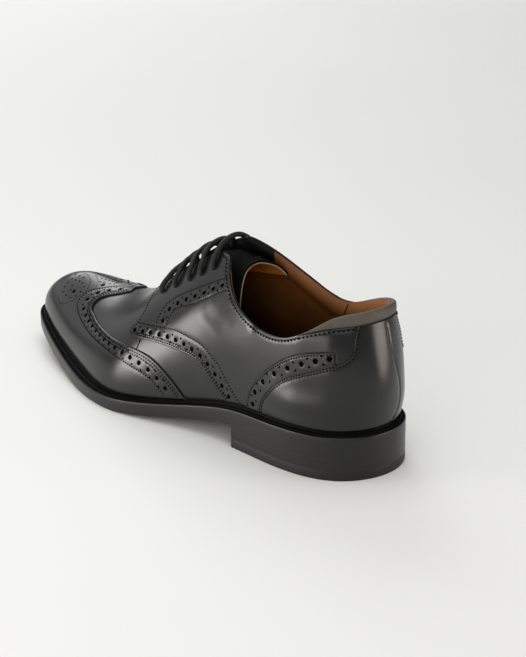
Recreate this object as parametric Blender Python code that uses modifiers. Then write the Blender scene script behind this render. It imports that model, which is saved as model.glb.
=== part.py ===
"""A black full-brogue Derby shoe for the left foot, as separate solids.

The upper is a hollow wall wrapped over the last, a surface worked out from the sole's
outline and a short table of cross sections.  The overlays are flat patterns that the same
function wraps over it.  Sizes are millimetres here and metres in the scene.  While it is
worked out, x runs from the back of the heel to the toe, +y is the outer (lateral) side of
the foot and z is height above the floor.
"""
import bmesh
import bpy
import numpy as np
from mathutils import Vector
from mathutils.geometry import delaunay_2d_cdt

MM = 0.001
OBJECT_NAME = "brogue_derby"

# Sole outline seen from above, heel back first, then the lateral side, toe and medial side.
# x, y
SOLE_OUTLINE = [
    (0.0, 0.0), (9.8, 25.0), (38.0, 36.9), (80.0, 37.2), (115.0, 39.2), (148.0, 47.6),
    (176.0, 52.9), (205.0, 48.8), (235.0, 38.6), (262.0, 27.8), (285.0, 17.6), (299.5, 8.0),
    (304.0, -4.0), (299.5, -16.0), (285.0, -29.0), (262.0, -42.0), (235.0, -49.8),
    (205.0, -50.5), (176.0, -43.5), (148.0, -35.0), (115.0, -31.0), (80.0, -34.0),
    (38.0, -36.4), (9.8, -24.8)]

# Height of the welt's upper face along the sole: heel seat, waist, ball and toe spring.
# station, height
WELT_TOP = [
    (0, 25.0), (30, 24.6), (60, 23.8), (85, 22.3), (115, 16.8), (148, 10.8), (176, 8.0),
    (205, 8.0), (235, 10.4), (262, 14.0), (285, 18.3), (304, 22.5)]

# How far the upper's foot stands in from the sole's edge.
# station, lateral inset, medial inset
FEATHER_INSET = [
    (0, 5.4, 5.4), (60, 5.4, 5.4), (115, 5.8, 5.8), (160, 7.2, 6.2), (205, 7.8, 7.2),
    (250, 7.0, 7.0), (304, 5.2, 5.2)]

# Cross sections of the last.  Behind the throat the ridge is the closed last's own top.
# station, ridge y, ridge height, fullness, side bulge
SECTIONS = [
    (38, 0.0, 124.8, 2.30, 3.3), (70, 0.5, 119.8, 2.25, 2.7), (100, 1.0, 112.8, 2.10, 2.3),
    (125, 1.0, 103.8, 1.92, 2.0), (150, 0.0, 90.0, 1.68, 2.0), (177, -1.5, 68.3, 1.82, 2.2),
    (205, -3.0, 54.8, 1.85, 2.6), (235, -4.6, 49.8, 1.84, 2.8), (262, -5.2, 49.6, 1.91, 2.7)]
HEEL_CENTRE = 38.0
TOE_CENTRE = 262.0
FAN_SOFTNESS = 14.0

# Height of the collar's edge against the station of the upper's foot below it.
# station, height
COLLAR_LATERAL = [
    (4, 92.3), (10, 91.6), (18, 89.0), (26, 84.0), (36, 78.2), (46, 74.2), (58, 72.8),
    (70, 74.0), (80, 77.0), (88, 80.5), (96, 86.5), (102, 93.0), (108, 101.5)]
COLLAR_MEDIAL = [
    (4, 92.3), (8, 91.6), (16, 89.8), (26, 87.5), (36, 84.5), (48, 80.0), (58, 77.0),
    (66, 77.2), (77, 82.3), (89, 90.0), (101, 98.8), (107, 103.0), (110, 105.2),
    (112.5, 107.6), (115, 110.5)]

# Throat: the opening between the facings, measured over the last from its ridge. Its middle line
# lies to the lateral side of the ridge.
THROAT_FRONT = 180.0
THROAT_ROUND = 5.0
THROAT_LATERAL = 13.0
THROAT_MEDIAL = 3.0
THROAT_MIDDLE = (THROAT_LATERAL - THROAT_MEDIAL) / 2

# Eyelets, as far from the throat's middle line on both sides.
# station, lateral reach over the last from the ridge
EYELETS = [(160.6, 25.2), (148.8, 26.2), (136.7, 26.0), (127.3, 24.8), (117.8, 22.9)]
EYELET_DIAMETER = 4.0

# Edge of the wing cap from the corner of its blunt peak to the end of its tail on the welt.
# station, reach from the ridge
WING_PEAK = 216.5
WING_TAIL = 124.5
WING_EDGE = [
    (213.6, 6.0), (220.0, 9.6), (227.3, 13.1), (232.3, 16.7), (234.0, 20.8),
    (232.6, 24.8), (226.5, 29.0), (218.3, 33.4), (207.2, 38.7), (186.0, 48.8), (163.3, 60.6),
    (150.5, 69.6), (145.4, 74.4), (140.5, 79.6), (135.9, 84.9), (131.4, 90.7), (127.0, 97.0)]

# Lower edge of the quarter from the welt to its front corner, then the facing's front edge.
# run along the sole's edge from the heel back, rise over the last from its foot
QUARTER_LOWER = [
    (113.9, 2.0), (115.9, 4.3), (121.9, 11.3), (126.2, 16.2), (130.5, 21.8), (137.8, 27.1),
    (147.2, 30.4), (160.0, 33.4), (173.9, 35.5), (194.9, 36.6)]
FACING_FRONT = [
    (194.9, 36.6), (195.7, 40.9), (192.6, 44.8), (190.4, 51.6), (192.3, 58.9), (195.0, 65.0)]
FACING_CORNER = 197.0

# Edge of the heel counter from the welt, and of its back strap up to the collar: run, rise.
COUNTER_SWEEP = [
    (97.0, 2.0), (95.3, 7.2), (91.8, 15.5), (83.7, 24.9), (72.5, 34.0), (61.0, 40.8),
    (47.6, 45.4), (32.2, 47.4)]
BACK_STRAP = [(32.2, 40.7), (24.9, 43.5), (21.0, 48.0), (18.9, 56.0), (17.2, 61.0)]

# Lower edge of the collar band across the back between its two blunt ends: run, rise.
BAND_LOWER = [
    (35.6, 59.3), (17.2, 61.0), (0.0, 61.5), (-17.2, 61.2), (-40.0, 59.3), (-60.0, 55.4)]
BAND_END_LATERAL = 56.7
BAND_END_MEDIAL = -79.0
BAND_END_HEIGHT = 1.5

# Wall and gaps
UPPER_WALL = 2.0
SEAT_GAP = 0.3
OVERLAY_LIFT = 0.56
OVERLAY_WALL = 1.2
OVERLAY_FOOT = 2.0
COUNTER_WALL = 1.8
BAND_WALL = 2.2
EDGE_GAP = 0.2

# Sole
WELT_THICKNESS = 3.0
OUTSOLE_THICKNESS = 5.2
OUTSOLE_EDGE_ROUND = 0.8
WELT_INNER = 2.5
INSOLE_CLEARANCE = 2.9
INSOLE_RISE = 0.8
INSOLE_EDGE_ROUND = 0.5
HEEL_BREAST = 85.0
HEEL_INSET = 0.3
HEEL_EDGE_ROUND = 0.3
TOP_PIECE_THICKNESS = 5.5

# Tongue along the throat's middle line, from under the vamp to where it leaves the last.
# station, depth under the last, half width
TONGUE = [
    (186.0, 3.3, 13.0), (176.0, 3.3, 23.0), (160.0, 3.3, 27.0), (142.0, 3.5, 29.0),
    (126.0, 5.0, 30.0), (118.0, 6.0, 30.0)]
# Rim of its wide end behind the facings, from the medial corner over the top.
# station, y, height
TONGUE_RIM = [
    (95.3, -16.0, 88.4), (96.2, -12.8, 92.2), (97.3, -8.4, 95.5), (98.1, -3.8, 97.5),
    (98.6, 1.0, 98.8), (98.6, 8.6, 98.4), (98.6, 13.6, 95.8), (98.6, 16.6, 90.8),
    (98.6, 18.6, 80.8), (98.6, 19.2, 73.8)]
TONGUE_WALL = 2.0

# Lace, its reaches measured over the last from the throat's middle line.
LACE_DIAMETER = 3.0
LACE_CLEARANCE = 0.5
LACE_ARCH = 1.0
LACE_BAR_ARCH = 0.3
LACE_REACH = 16.3
LACE_FAR_REACH = 4.5
# how far each crossing, from the front one back, leads on to the eyelet before it
LACE_FAR_SHARES = (0.50, 0.75, 0.95, 0.45)
LACE_POINTS = 9

# A point inside the shoe that every wall faces away from.
INNER_POINT = (150.0, 0.0, 20.0)

# Mesh sizes
UPPER_COLUMNS = 40
UPPER_ROWS = 8
PANEL_SPACING = 6.2
COUNTER_SPACING = 6.5
WING_SPACING = 6.0
TOE_SPACING = 4.6
TOE_FROM = 255.0
SOLE_STATIONS = 38
HEEL_STATIONS = 20
WELT_SEGMENTS = 84
TONGUE_HELD_ROWS = 10
TONGUE_FREE_ROWS = 4
TONGUE_COLUMNS = 13
WING_FOOT_POINTS = 110
EDGE_SPACING = 4.0
BAND_SPACING = 5.0
EDGE_SHARE = 0.8
STRAP_MARGIN = 2.0
PIN_SIDES = 12
PIN_REACH = 6.0
END_CUT = 0.15
MERGE = 0.02

# Colour, roughness
LEATHER = ((0.055, 0.055, 0.057, 1.0), 0.38)
SOLE_EDGE = ((0.045, 0.045, 0.045, 1.0), 0.50)
RUBBER = ((0.030, 0.030, 0.030, 1.0), 0.65)
PADDED_BAND = ((0.22, 0.19, 0.16, 1.0), 0.60)
SOCK = ((0.20, 0.08, 0.025, 1.0), 0.60)
LACE_COTTON = ((0.015, 0.015, 0.015, 1.0), 0.85)


class Spline:
    """A smooth cubic curve through rows of values, open or closed."""

    def __init__(self, knots, values, closed=False):
        self.knots = np.asarray(knots, float)
        self.values = np.asarray(values, float).reshape(len(knots), -1)
        self.closed = closed
        self.slopes = self._slopes()

    def _slopes(self):
        gaps = np.diff(self.knots)
        rises = np.diff(self.values, axis=0) / gaps[:, None]
        count = len(gaps) if self.closed else len(self.knots)
        matrix = np.zeros((count, count))
        right = np.zeros((count, self.values.shape[1]))
        for i in range(count):
            before, after = (i - 1) % len(gaps), i % len(gaps)
            if self.closed or 0 < i < count - 1:
                matrix[i, (i - 1) % count] += 1.0 / gaps[before]
                matrix[i, i] += 2.0 / gaps[before] + 2.0 / gaps[after]
                matrix[i, (i + 1) % count] += 1.0 / gaps[after]
                right[i] = 3.0 * (rises[before] / gaps[before] + rises[after] / gaps[after])
        if not self.closed:
            matrix[0, :2] = (2.0, 1.0)
            right[0] = 3.0 * rises[0]
            matrix[-1, -2:] = (1.0, 2.0)
            right[-1] = 3.0 * rises[-1]
        slopes = np.linalg.solve(matrix, right)
        return np.vstack([slopes, slopes[:1]]) if self.closed else slopes

    def __call__(self, at):
        at = np.asarray(at, float)
        first, last = self.knots[0], self.knots[-1]
        at = first + np.mod(at - first, last - first) if self.closed else np.clip(at, first, last)
        i = np.clip(np.searchsorted(self.knots, at, side="right") - 1, 0, len(self.knots) - 2)
        gap = (self.knots[i + 1] - self.knots[i])[..., None]
        s = (at - self.knots[i])[..., None] / gap
        start, end = self.values[i], self.values[i + 1]
        out, into = self.slopes[i] * gap, self.slopes[i + 1] * gap
        return ((2 * s ** 3 - 3 * s ** 2 + 1) * start + (s ** 3 - 2 * s ** 2 + s) * out
                + (3 * s ** 2 - 2 * s ** 3) * end + (s ** 3 - s ** 2) * into)


def table(rows):
    """A spline of the other columns against the first."""
    rows = np.asarray(rows, float)
    return Spline(rows[:, 0], rows[:, 1:])


def chords(points):
    """Length along the straight steps between points, from 0 at the first one."""
    steps = np.linalg.norm(np.diff(points, axis=0), axis=1)
    return np.concatenate([[0.0], np.cumsum(steps)])


def path_through(points, spacing):
    """Points about one spacing apart on a smooth open curve through the given points."""
    points = np.asarray(points, float)
    knots = chords(points)
    count = max(2, int(round(knots[-1] / spacing)) + 1)
    return Spline(knots, points)(np.linspace(0.0, knots[-1], count))


class Last:
    """The shoe's last: run 0..1 goes round the foot line, rise 0..1 from it to the ridge."""

    SAMPLES = 4001
    HALF_SAMPLES = 1501
    FAN_SAMPLES = 1441
    GIRTH_STEPS = 121
    SIDE_BLEND = 8.0

    def __init__(self):
        points = np.array(SOLE_OUTLINE + SOLE_OUTLINE[:1])
        chords = np.sqrt(np.linalg.norm(np.diff(points, axis=0), axis=1))
        knots = np.concatenate([[0.0], np.cumsum(chords)])
        self.curve = Spline(knots, points, closed=True)
        self.knots = np.linspace(0.0, knots[-1], self.SAMPLES)
        steps = np.linalg.norm(np.diff(self.curve(self.knots), axis=0), axis=1)
        length = np.concatenate([[0.0], np.cumsum(steps)])
        self.perimeter = length[-1]
        self.runs = length / length[-1]
        self.tip = self.runs[np.argmax(self.curve(self.knots)[:, 0])]
        self.welt_top = table(WELT_TOP)
        self.inset = table(FEATHER_INSET)
        self.section = table(SECTIONS)

    def outline(self, run, inset=0.0):
        """Points of the sole's outline, moved in by an inset."""
        def on_curve(at):
            return self.curve(np.interp(np.mod(at, 1.0), self.runs, self.knots))
        step = 1e-4
        ahead = on_curve(run + step) - on_curve(run - step)
        ahead /= np.linalg.norm(ahead, axis=-1, keepdims=True)
        inward = np.stack([ahead[..., 1], -ahead[..., 0]], -1)
        return on_curve(run) + inward * np.broadcast_to(inset, np.shape(run))[..., None]

    def foot(self, run, inset=0.0):
        """The line where the upper meets the welt."""
        run = np.asarray(run, float)
        edge = self.outline(run)
        both = self.inset(edge[..., 0])
        side = 0.5 + 0.5 * np.tanh(edge[..., 1] / self.SIDE_BLEND)
        line = self.outline(run, both[..., 0] * side + both[..., 1] * (1.0 - side) + inset)
        return np.concatenate([line, self.welt_top(line[..., 0])], -1)

    def spine(self, x):
        """Station of the ridge point that a section starts from, clamped softly at the ends."""
        soft = FAN_SOFTNESS
        above = HEEL_CENTRE + soft * np.logaddexp(0.0, (x - HEEL_CENTRE) / soft)
        return TOE_CENTRE - soft * np.logaddexp(0.0, (TOE_CENTRE - above) / soft)

    def surface(self, run, rise):
        """Points of the last's surface."""
        run, rise = np.broadcast_arrays(np.asarray(run, float), np.asarray(rise, float))
        foot = self.foot(run)
        station = self.spine(foot[..., 0])
        ridge_y, ridge_z, fullness, bulge = np.moveaxis(self.section(station), -1, 0)
        ahead, behind = self.section(station + 0.5)[..., 1], self.section(station - 0.5)[..., 1]
        angle = np.clip(rise, 0.0, 1.0) * np.pi / 2
        across = np.clip(np.cos(angle), 0.0, 1.0) ** (2 / fullness)
        up = np.clip(np.sin(angle), 0.0, 1.0) ** (2 / fullness)
        dx, dy = foot[..., 0] - station, foot[..., 1] - ridge_y
        belly = bulge * np.sin(np.pi * up ** 0.75) * np.sqrt(across)
        share = across + belly / np.hypot(dx, dy)
        top = ridge_z + np.where(station > THROAT_FRONT, (ahead - behind) * dx * share, 0.0)
        height = foot[..., 2] + (top - foot[..., 2]) * up
        return np.stack([station + dx * share, ridge_y + dy * share, height], -1)

    def lifted(self, run, rise, lift):
        """Surface points moved out along the surface's normal."""
        step = 1e-3
        run, rise = np.asarray(run, float), np.clip(rise, 0.0, 1.0)
        low, high = np.clip(rise - step, 0.002, 1.0), np.clip(rise + step, 0.004, 1.0)
        along = self.surface(run + step, rise) - self.surface(run - step, rise)
        upward = self.surface(run, high) - self.surface(run, low)
        normal = np.cross(upward, along)
        normal /= np.linalg.norm(normal, axis=-1, keepdims=True)
        return self.surface(run, rise) + normal * np.asarray(lift)[..., None]

    def girths(self, run):
        """Rises and lengths over the surface from the foot line, for each run."""
        rises = np.linspace(0.0, 1.0, self.GIRTH_STEPS)
        points = self.surface(np.asarray(run, float)[..., None], rises)
        steps = np.linalg.norm(np.diff(points, axis=-2), axis=-1)
        zero = np.zeros(steps.shape[:-1] + (1,))
        return rises, points, np.concatenate([zero, np.cumsum(steps, axis=-1)], -1)

    def rise_at(self, run, value, measure):
        """Rise where a section reaches a height, a length from its foot or from its ridge."""
        rises, points, lengths = self.girths(run)
        found = []
        for i, wanted in enumerate(np.broadcast_to(value, np.shape(run))):
            if measure == "height":
                found.append(np.interp(wanted, points[i, :, 2], rises))
            elif measure == "from_foot":
                found.append(np.interp(wanted, lengths[i], rises))
            else:
                found.append(np.interp(lengths[i, -1] - wanted, lengths[i], rises))
        return np.array(found)

    def half(self, lateral):
        """Runs along one side from the heel back to the toe."""
        return np.linspace(0.0 if lateral else 1.0, self.tip, self.HALF_SAMPLES)

    def run_at(self, station, lateral):
        """Run of the section whose foot lies at a station, on one side."""
        half = self.half(lateral)
        return np.interp(station, self.foot(half)[:, 0], half)

    def wall(self, pattern, lift):
        """Wrap a pattern of (run in mm, length from the foot) over the last."""
        run = pattern[:, 0] / self.perimeter
        return self.lifted(run, self.rise_at(run, pattern[:, 1], "from_foot"), lift)

    def unrolled(self, run, rise):
        """Flat place of surface points, each section laid out straight from the ridge."""
        foot = self.foot(run)
        station = self.spine(foot[..., 0])
        start = np.stack([station, self.section(station)[..., 0]], -1)
        way = foot[..., :2] - start
        way /= np.linalg.norm(way, axis=-1, keepdims=True)
        rises, _, lengths = self.girths(run)
        reach = [row[-1] - np.interp(at, rises, row) for row, at in zip(lengths, rise)]
        return start + way * np.array(reach)[..., None]

    def roll(self, pattern, lift):
        """Wrap a pattern in unrolled places over the last, across its ridge too."""
        runs = np.linspace(0.0, 1.0, self.FAN_SAMPLES)
        foot = self.foot(runs)
        station = self.spine(foot[:, 0])
        start = np.stack([station, self.section(station)[:, 0]], -1)
        way = foot[:, :2] - start
        way /= np.linalg.norm(way, axis=-1, keepdims=True)
        found, reach = [], []
        for point in pattern:
            offset = point - start
            side = offset[:, 0] * way[:, 1] - offset[:, 1] * way[:, 0]
            along = np.sum(offset * way, axis=-1)
            turns = np.nonzero((side[:-1] * side[1:] <= 0) & (along[:-1] > -0.05))[0]
            i = turns[np.argmin(np.abs(side[turns]) + np.abs(side[turns + 1]))]
            change = side[i] - side[i + 1]
            share = side[i] / change if abs(change) > 1e-12 else 0.0
            found.append(runs[i] + (runs[i + 1] - runs[i]) * share)
            reach.append(along[i] * (1 - share) + along[i + 1] * share)
        found = np.array(found)
        rise = self.rise_at(found, np.maximum(reach, 0.0), "from_ridge")
        return self.lifted(found, rise, lift)

    def unrolled_edge(self, rows, lateral):
        """Unrolled places of (station, reach from the ridge) rows, given for the lateral side.

        On the medial side each reach keeps its share of the section's length.
        """
        rows = np.asarray(rows, float)
        own, given = (self.girths(self.run_at(rows[:, 0], side))[2][:, -1]
                      for side in (lateral, True))
        reach = rows[:, 1] * own / given * (1.0 if lateral else -1.0)
        return np.stack([rows[:, 0], self.section(rows[:, 0])[:, 0] + reach], -1)


LAST = Last()
COLLAR_L = table(COLLAR_LATERAL)
COLLAR_M = table(COLLAR_MEDIAL)
EDGE = LAST.outline(np.linspace(0.0, 1.0, LAST.SAMPLES))
ORIGIN = np.append((EDGE.min(axis=0) + EDGE.max(axis=0)) / 2, 0.0)


def placed(points):
    """Scene places, in metres, of points in millimetres on the last."""
    return (np.asarray(points, float) - ORIGIN) * MM


def clear_scene():
    for item in list(bpy.data.objects):
        bpy.data.objects.remove(item, do_unlink=True)


def collection(name):
    group = bpy.data.collections.new(name)
    bpy.context.scene.collection.children.link(group)
    return group


def material(name, finish):
    colour, roughness = finish
    made = bpy.data.materials.new(name)
    made.use_nodes = True
    shader = made.node_tree.nodes["Principled BSDF"]
    shader.inputs["Base Color"].default_value = colour
    shader.inputs["Roughness"].default_value = roughness
    shader.inputs["Metallic"].default_value = 0.0
    return made


def add_object(group, name, points, faces, finish, merge=False):
    """A mesh object from points in millimetres, with its faces made to agree."""
    mesh = bpy.data.meshes.new(name)
    mesh.from_pydata([tuple(p) for p in placed(points)], [], faces)
    edit = bmesh.new()
    edit.from_mesh(mesh)
    if merge:
        bmesh.ops.remove_doubles(edit, verts=edit.verts[:], dist=MERGE * MM)
    bmesh.ops.recalc_face_normals(edit, faces=edit.faces[:])
    edit.to_mesh(mesh)
    edit.free()
    mesh.shade_smooth()
    made = bpy.data.objects.new(name, mesh)
    if finish is not None:
        mesh.materials.append(material(name, finish))
    group.objects.link(made)
    return made


def grid_faces(rows, columns, closed=False):
    """Quads of a grid of points stored row by row."""
    faces = []
    for i in range(rows - 1):
        for j in range(columns if closed else columns - 1):
            k = (j + 1) % columns
            faces.append((i * columns + j, i * columns + k,
                          (i + 1) * columns + k, (i + 1) * columns + j))
    return faces


def outward(made, reference):
    """Turn an open sheet's faces away from a reference point."""
    mesh = made.data
    centre = Vector(placed([reference])[0])
    total = sum((face.center - centre).dot(face.normal) * face.area for face in mesh.polygons)
    if total < 0:
        mesh.flip_normals()


def thicken(made, wall, outside):
    """Give an open sheet its wall, outside or inside of it."""
    shell = made.modifiers.new("wall", "SOLIDIFY")
    shell.thickness = wall * MM
    shell.offset = 1.0 if outside else -1.0
    shell.use_even_offset = False


def inside_polygon(points, polygon):
    """Which points lie inside a closed polygon."""
    x, y = points[:, :1], points[:, 1:]
    ax, ay = polygon[:, 0], polygon[:, 1]
    bx, by = np.roll(ax, -1), np.roll(ay, -1)
    spans = (ay > y) != (by > y)
    crossing = ax + (y - ay) * (bx - ax) / np.where(by == ay, 1e-12, by - ay)
    return (np.sum(spans & (x < crossing), axis=1) % 2) == 1


def shrunk(polygon, amount):
    """A closed polygon moved in by a small amount."""
    def area(loop):
        ahead = np.roll(loop, -1, axis=0)
        return np.sum(loop[:, 0] * ahead[:, 1] - ahead[:, 0] * loop[:, 1]) / 2
    way = np.roll(polygon, -1, axis=0) - np.roll(polygon, 1, axis=0)
    way /= np.linalg.norm(way, axis=1, keepdims=True)
    inward = np.stack([-way[:, 1], way[:, 0]], -1) * np.sign(area(polygon))
    return polygon + inward * amount


def pattern_places(outline, spacing):
    """Places inside an outline, in staggered rows one spacing apart and clear of its edge."""
    low, high = outline.min(axis=0), outline.max(axis=0)
    places = []
    for i, y in enumerate(np.arange(low[1], high[1], spacing * 0.866)):
        for x in np.arange(low[0] + (i % 2) * spacing / 2, high[0], spacing):
            places.append((x, y))
    places = np.array(places)
    ahead = np.roll(outline, -1, axis=0) - outline
    offset = places[:, None] - outline[None]
    share = np.clip(np.sum(offset * ahead, -1) / np.sum(ahead ** 2, -1), 0.0, 1.0)
    apart = np.linalg.norm(offset - share[..., None] * ahead, axis=-1).min(axis=1)
    return places[inside_polygon(places, outline) & (apart > 0.55 * spacing)]


def panel(group, name, outline, wrap, lift, wall, finish, spacing=PANEL_SPACING, fine_from=None):
    """Cut a flat pattern, wrap it over the last and give it its wall.

    Beyond fine_from, where the last turns tightly, the pattern has closer places.
    """
    outline = shrunk(outline, EDGE_GAP)
    places = pattern_places(outline, spacing)
    if fine_from is not None:
        fine = pattern_places(outline, TOE_SPACING)
        places = np.vstack([places[places[:, 0] < fine_from], fine[fine[:, 0] >= fine_from]])
    flat = [Vector(p) for p in np.vstack([outline, places])]
    loop = list(range(len(outline)))
    points, _, faces, _, _, _ = delaunay_2d_cdt(flat, [], [loop], 1, 1e-5)
    sheet = wrap(np.array([(p.x, p.y) for p in points]), lift)
    made = add_object(group, name, sheet, [tuple(face) for face in faces], finish)
    outward(made, INNER_POINT)
    thicken(made, wall, outside=True)
    return made


def stations(start, end, count):
    """Stations from start to end, closer at both ends where the outline turns."""
    return start + (end - start) * (1 - np.cos(np.linspace(0.0, np.pi, count))) / 2


def slab(group, name, line, at, bottom, top, edge_round, finish):
    """A solid lofted along the sole inside a closed line, its lower edge rounded off."""
    lateral, medial = line(LAST.half(True)), line(LAST.half(False))
    left = np.interp(at, lateral[:, 0], lateral[:, 1])
    right = np.interp(at, medial[:, 0], medial[:, 1])
    tuck = np.minimum(edge_round, (left - right) * 0.2)
    lift = np.minimum(edge_round, (top - bottom) * 0.4)
    rows = [(left - tuck, bottom), (left, bottom + lift), (left, top),
            (right, top), (right, bottom + lift), (right + tuck, bottom)]
    points = np.concatenate([np.stack([at, y, z], -1) for y, z in rows])
    count = len(at)
    last = (len(rows) - 1) * count
    faces = grid_faces(len(rows), count)
    faces += [(last + j, last + j + 1, j + 1, j) for j in range(count - 1)]
    faces.append(tuple(k * count for k in range(len(rows))))
    faces.append(tuple(k * count + count - 1 for k in reversed(range(len(rows)))))
    return add_object(group, name, points, faces, finish)


def sole_bottom(at):
    """Underside of the outsole, flat on the floor under the ball."""
    return np.maximum(LAST.welt_top(at)[:, 0] - WELT_THICKNESS - OUTSOLE_THICKNESS, 0.0)


def build_outsole(group):
    at = stations(EDGE[:, 0].min() + END_CUT, EDGE[:, 0].max() - END_CUT, SOLE_STATIONS)
    top = LAST.welt_top(at)[:, 0] - WELT_THICKNESS
    slab(group, "outsole", LAST.outline, at, sole_bottom(at), top, OUTSOLE_EDGE_ROUND, SOLE_EDGE)


def build_welt(group):
    run = np.arange(WELT_SEGMENTS) / WELT_SEGMENTS
    outer, inner = LAST.outline(run), LAST.foot(run, WELT_INNER)[:, :2]
    under = WELT_THICKNESS - SEAT_GAP
    rings = []
    for line, drop in ((outer, under), (outer, 0.0), (inner, 0.0), (inner, under), (outer, under)):
        rings.append(np.concatenate([line, LAST.welt_top(line[:, 0]) - drop], -1))
    add_object(group, "welt", np.concatenate(rings),
               grid_faces(len(rings), WELT_SEGMENTS, closed=True), SOLE_EDGE, merge=True)


def build_insole(group):
    def line(run):
        return LAST.foot(run, INSOLE_CLEARANCE)
    loop = line(np.linspace(0.0, 1.0, LAST.SAMPLES))
    at = stations(loop[:, 0].min() + END_CUT, loop[:, 0].max() - END_CUT, SOLE_STATIONS)
    top = LAST.welt_top(at)[:, 0]
    slab(group, "insole", line, at, top - WELT_THICKNESS + SEAT_GAP, top + INSOLE_RISE,
         INSOLE_EDGE_ROUND, SOCK)


def build_heel(group):
    """The stacked heel and its bottom lift."""
    at = stations(EDGE[:, 0].min() + HEEL_INSET + END_CUT, HEEL_BREAST, HEEL_STATIONS)
    lift_top = np.full(len(at), TOP_PIECE_THICKNESS)
    slab(group, "heel_block", lambda run: LAST.outline(run, HEEL_INSET), at, lift_top + SEAT_GAP,
         sole_bottom(at) - SEAT_GAP, HEEL_EDGE_ROUND, SOLE_EDGE)
    slab(group, "heel_top_piece", lambda run: LAST.outline(run, HEEL_INSET), at,
         np.zeros(len(at)), lift_top, OUTSOLE_EDGE_ROUND, RUBBER)


def throat_reach(run):
    """Reach of the facing's edge from the ridge on the side of each run."""
    return np.where(np.mod(run, 1.0) < LAST.tip, THROAT_LATERAL, THROAT_MEDIAL)


def throat_place(station, reach, lateral):
    """Unrolled place at a reach to one side of the throat's middle line."""
    offset = THROAT_MIDDLE + (reach if lateral else -reach)
    return np.array([station, LAST.section(station)[0] + offset])


def facing_rise(run):
    """Rise of the collar's edge or, where that is lower, the facing's edge."""
    run = np.mod(run, 1.0)
    foot_x = LAST.foot(run)[:, 0]
    height = np.where(run < LAST.tip, COLLAR_L(foot_x)[:, 0], COLLAR_M(foot_x)[:, 0])
    return np.minimum(LAST.rise_at(run, height, "height"),
                      LAST.rise_at(run, throat_reach(run), "from_ridge"))


def top_rise(run):
    """Rise of the upper's free edge: collar, facing or, in front of the throat, the ridge."""
    foot_x = LAST.foot(run)[:, 0]
    share = np.clip((foot_x - THROAT_FRONT + THROAT_ROUND) / THROAT_ROUND, 0.0, 1.0)
    front = LAST.rise_at(run, throat_reach(run) * np.sqrt(1.0 - share ** 2), "from_ridge")
    return np.where(share > 0.0, front, facing_rise(run))


def free_edge(start, end, spacing):
    """Pattern places of the collar's and facing's edge between two runs in millimetres."""
    count = max(2, int(abs(end - start) / spacing) + 1)
    along = np.linspace(start, end, count)
    run = along / LAST.perimeter
    rises, _, lengths = LAST.girths(run)
    top = [np.interp(at, rises, row) for at, row in zip(facing_rise(run), lengths)]
    return np.stack([along, top], -1)


def build_upper(group):
    """The hollow wall: one sheet round the foot line, closed along the vamp's ridge."""
    lateral = np.linspace(0.0, LAST.tip, UPPER_COLUMNS)
    back = LAST.half(False)
    spine = LAST.spine(LAST.foot(lateral)[:, 0])
    medial = np.interp(spine, LAST.spine(LAST.foot(back)[:, 0]), back)
    run = np.concatenate([lateral, medial[-2:0:-1]])
    low = LAST.rise_at(run, SEAT_GAP, "from_foot")
    share = np.linspace(0.0, 1.0, UPPER_ROWS + 1)[:, None]
    rise = low + (top_rise(run) - low) * share
    points = LAST.surface(np.broadcast_to(run, rise.shape), rise)
    made = add_object(group, "upper", points.reshape(-1, 3),
                      grid_faces(UPPER_ROWS + 1, len(run), closed=True), LEATHER, merge=True)
    outward(made, INNER_POINT)
    thicken(made, UPPER_WALL, outside=False)
    return made


def build_wing_cap(group):
    sides = []
    for lateral in (True, False):
        tail = LAST.run_at(WING_TAIL, lateral)
        edge = path_through(LAST.unrolled_edge(WING_EDGE, lateral), TOE_SPACING)
        end = LAST.unrolled(np.array([tail]), LAST.rise_at(np.array([tail]), OVERLAY_FOOT, "from_foot"))
        sides.append((np.vstack([edge, end]), tail))
    (outer, outer_tail), (inner, inner_tail) = sides
    around = np.linspace(outer_tail, inner_tail, WING_FOOT_POINTS)[1:-1]
    foot = LAST.unrolled(around, LAST.rise_at(around, OVERLAY_FOOT, "from_foot"))
    peak = LAST.unrolled_edge([(WING_PEAK, 0.0)], True)
    outline = np.vstack([peak, outer, foot, inner[::-1]])
    panel(group, "wing_cap", outline, LAST.roll, OVERLAY_LIFT, OVERLAY_WALL, LEATHER,
          spacing=WING_SPACING, fine_from=TOE_FROM)


def sided(rows, lateral):
    """Pattern rows on the lateral side, or on the medial side at the same share of its girth."""
    rows = np.asarray(rows, float)
    if lateral:
        return rows
    run = rows[:, 0] / LAST.perimeter
    own, given = (LAST.girths(at)[2][:, -1] for at in (-run, run))
    return np.stack([-rows[:, 0], rows[:, 1] * own / given], -1)


def band_lower(spacing):
    """Pattern places of the collar band's lower edge, lateral end first."""
    ends = [free_edge(run, run, spacing)[:1] - (0.0, BAND_END_HEIGHT)
            for run in (BAND_END_LATERAL, BAND_END_MEDIAL)]
    return path_through(np.vstack([ends[0], BAND_LOWER, ends[1]]), spacing)


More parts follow.
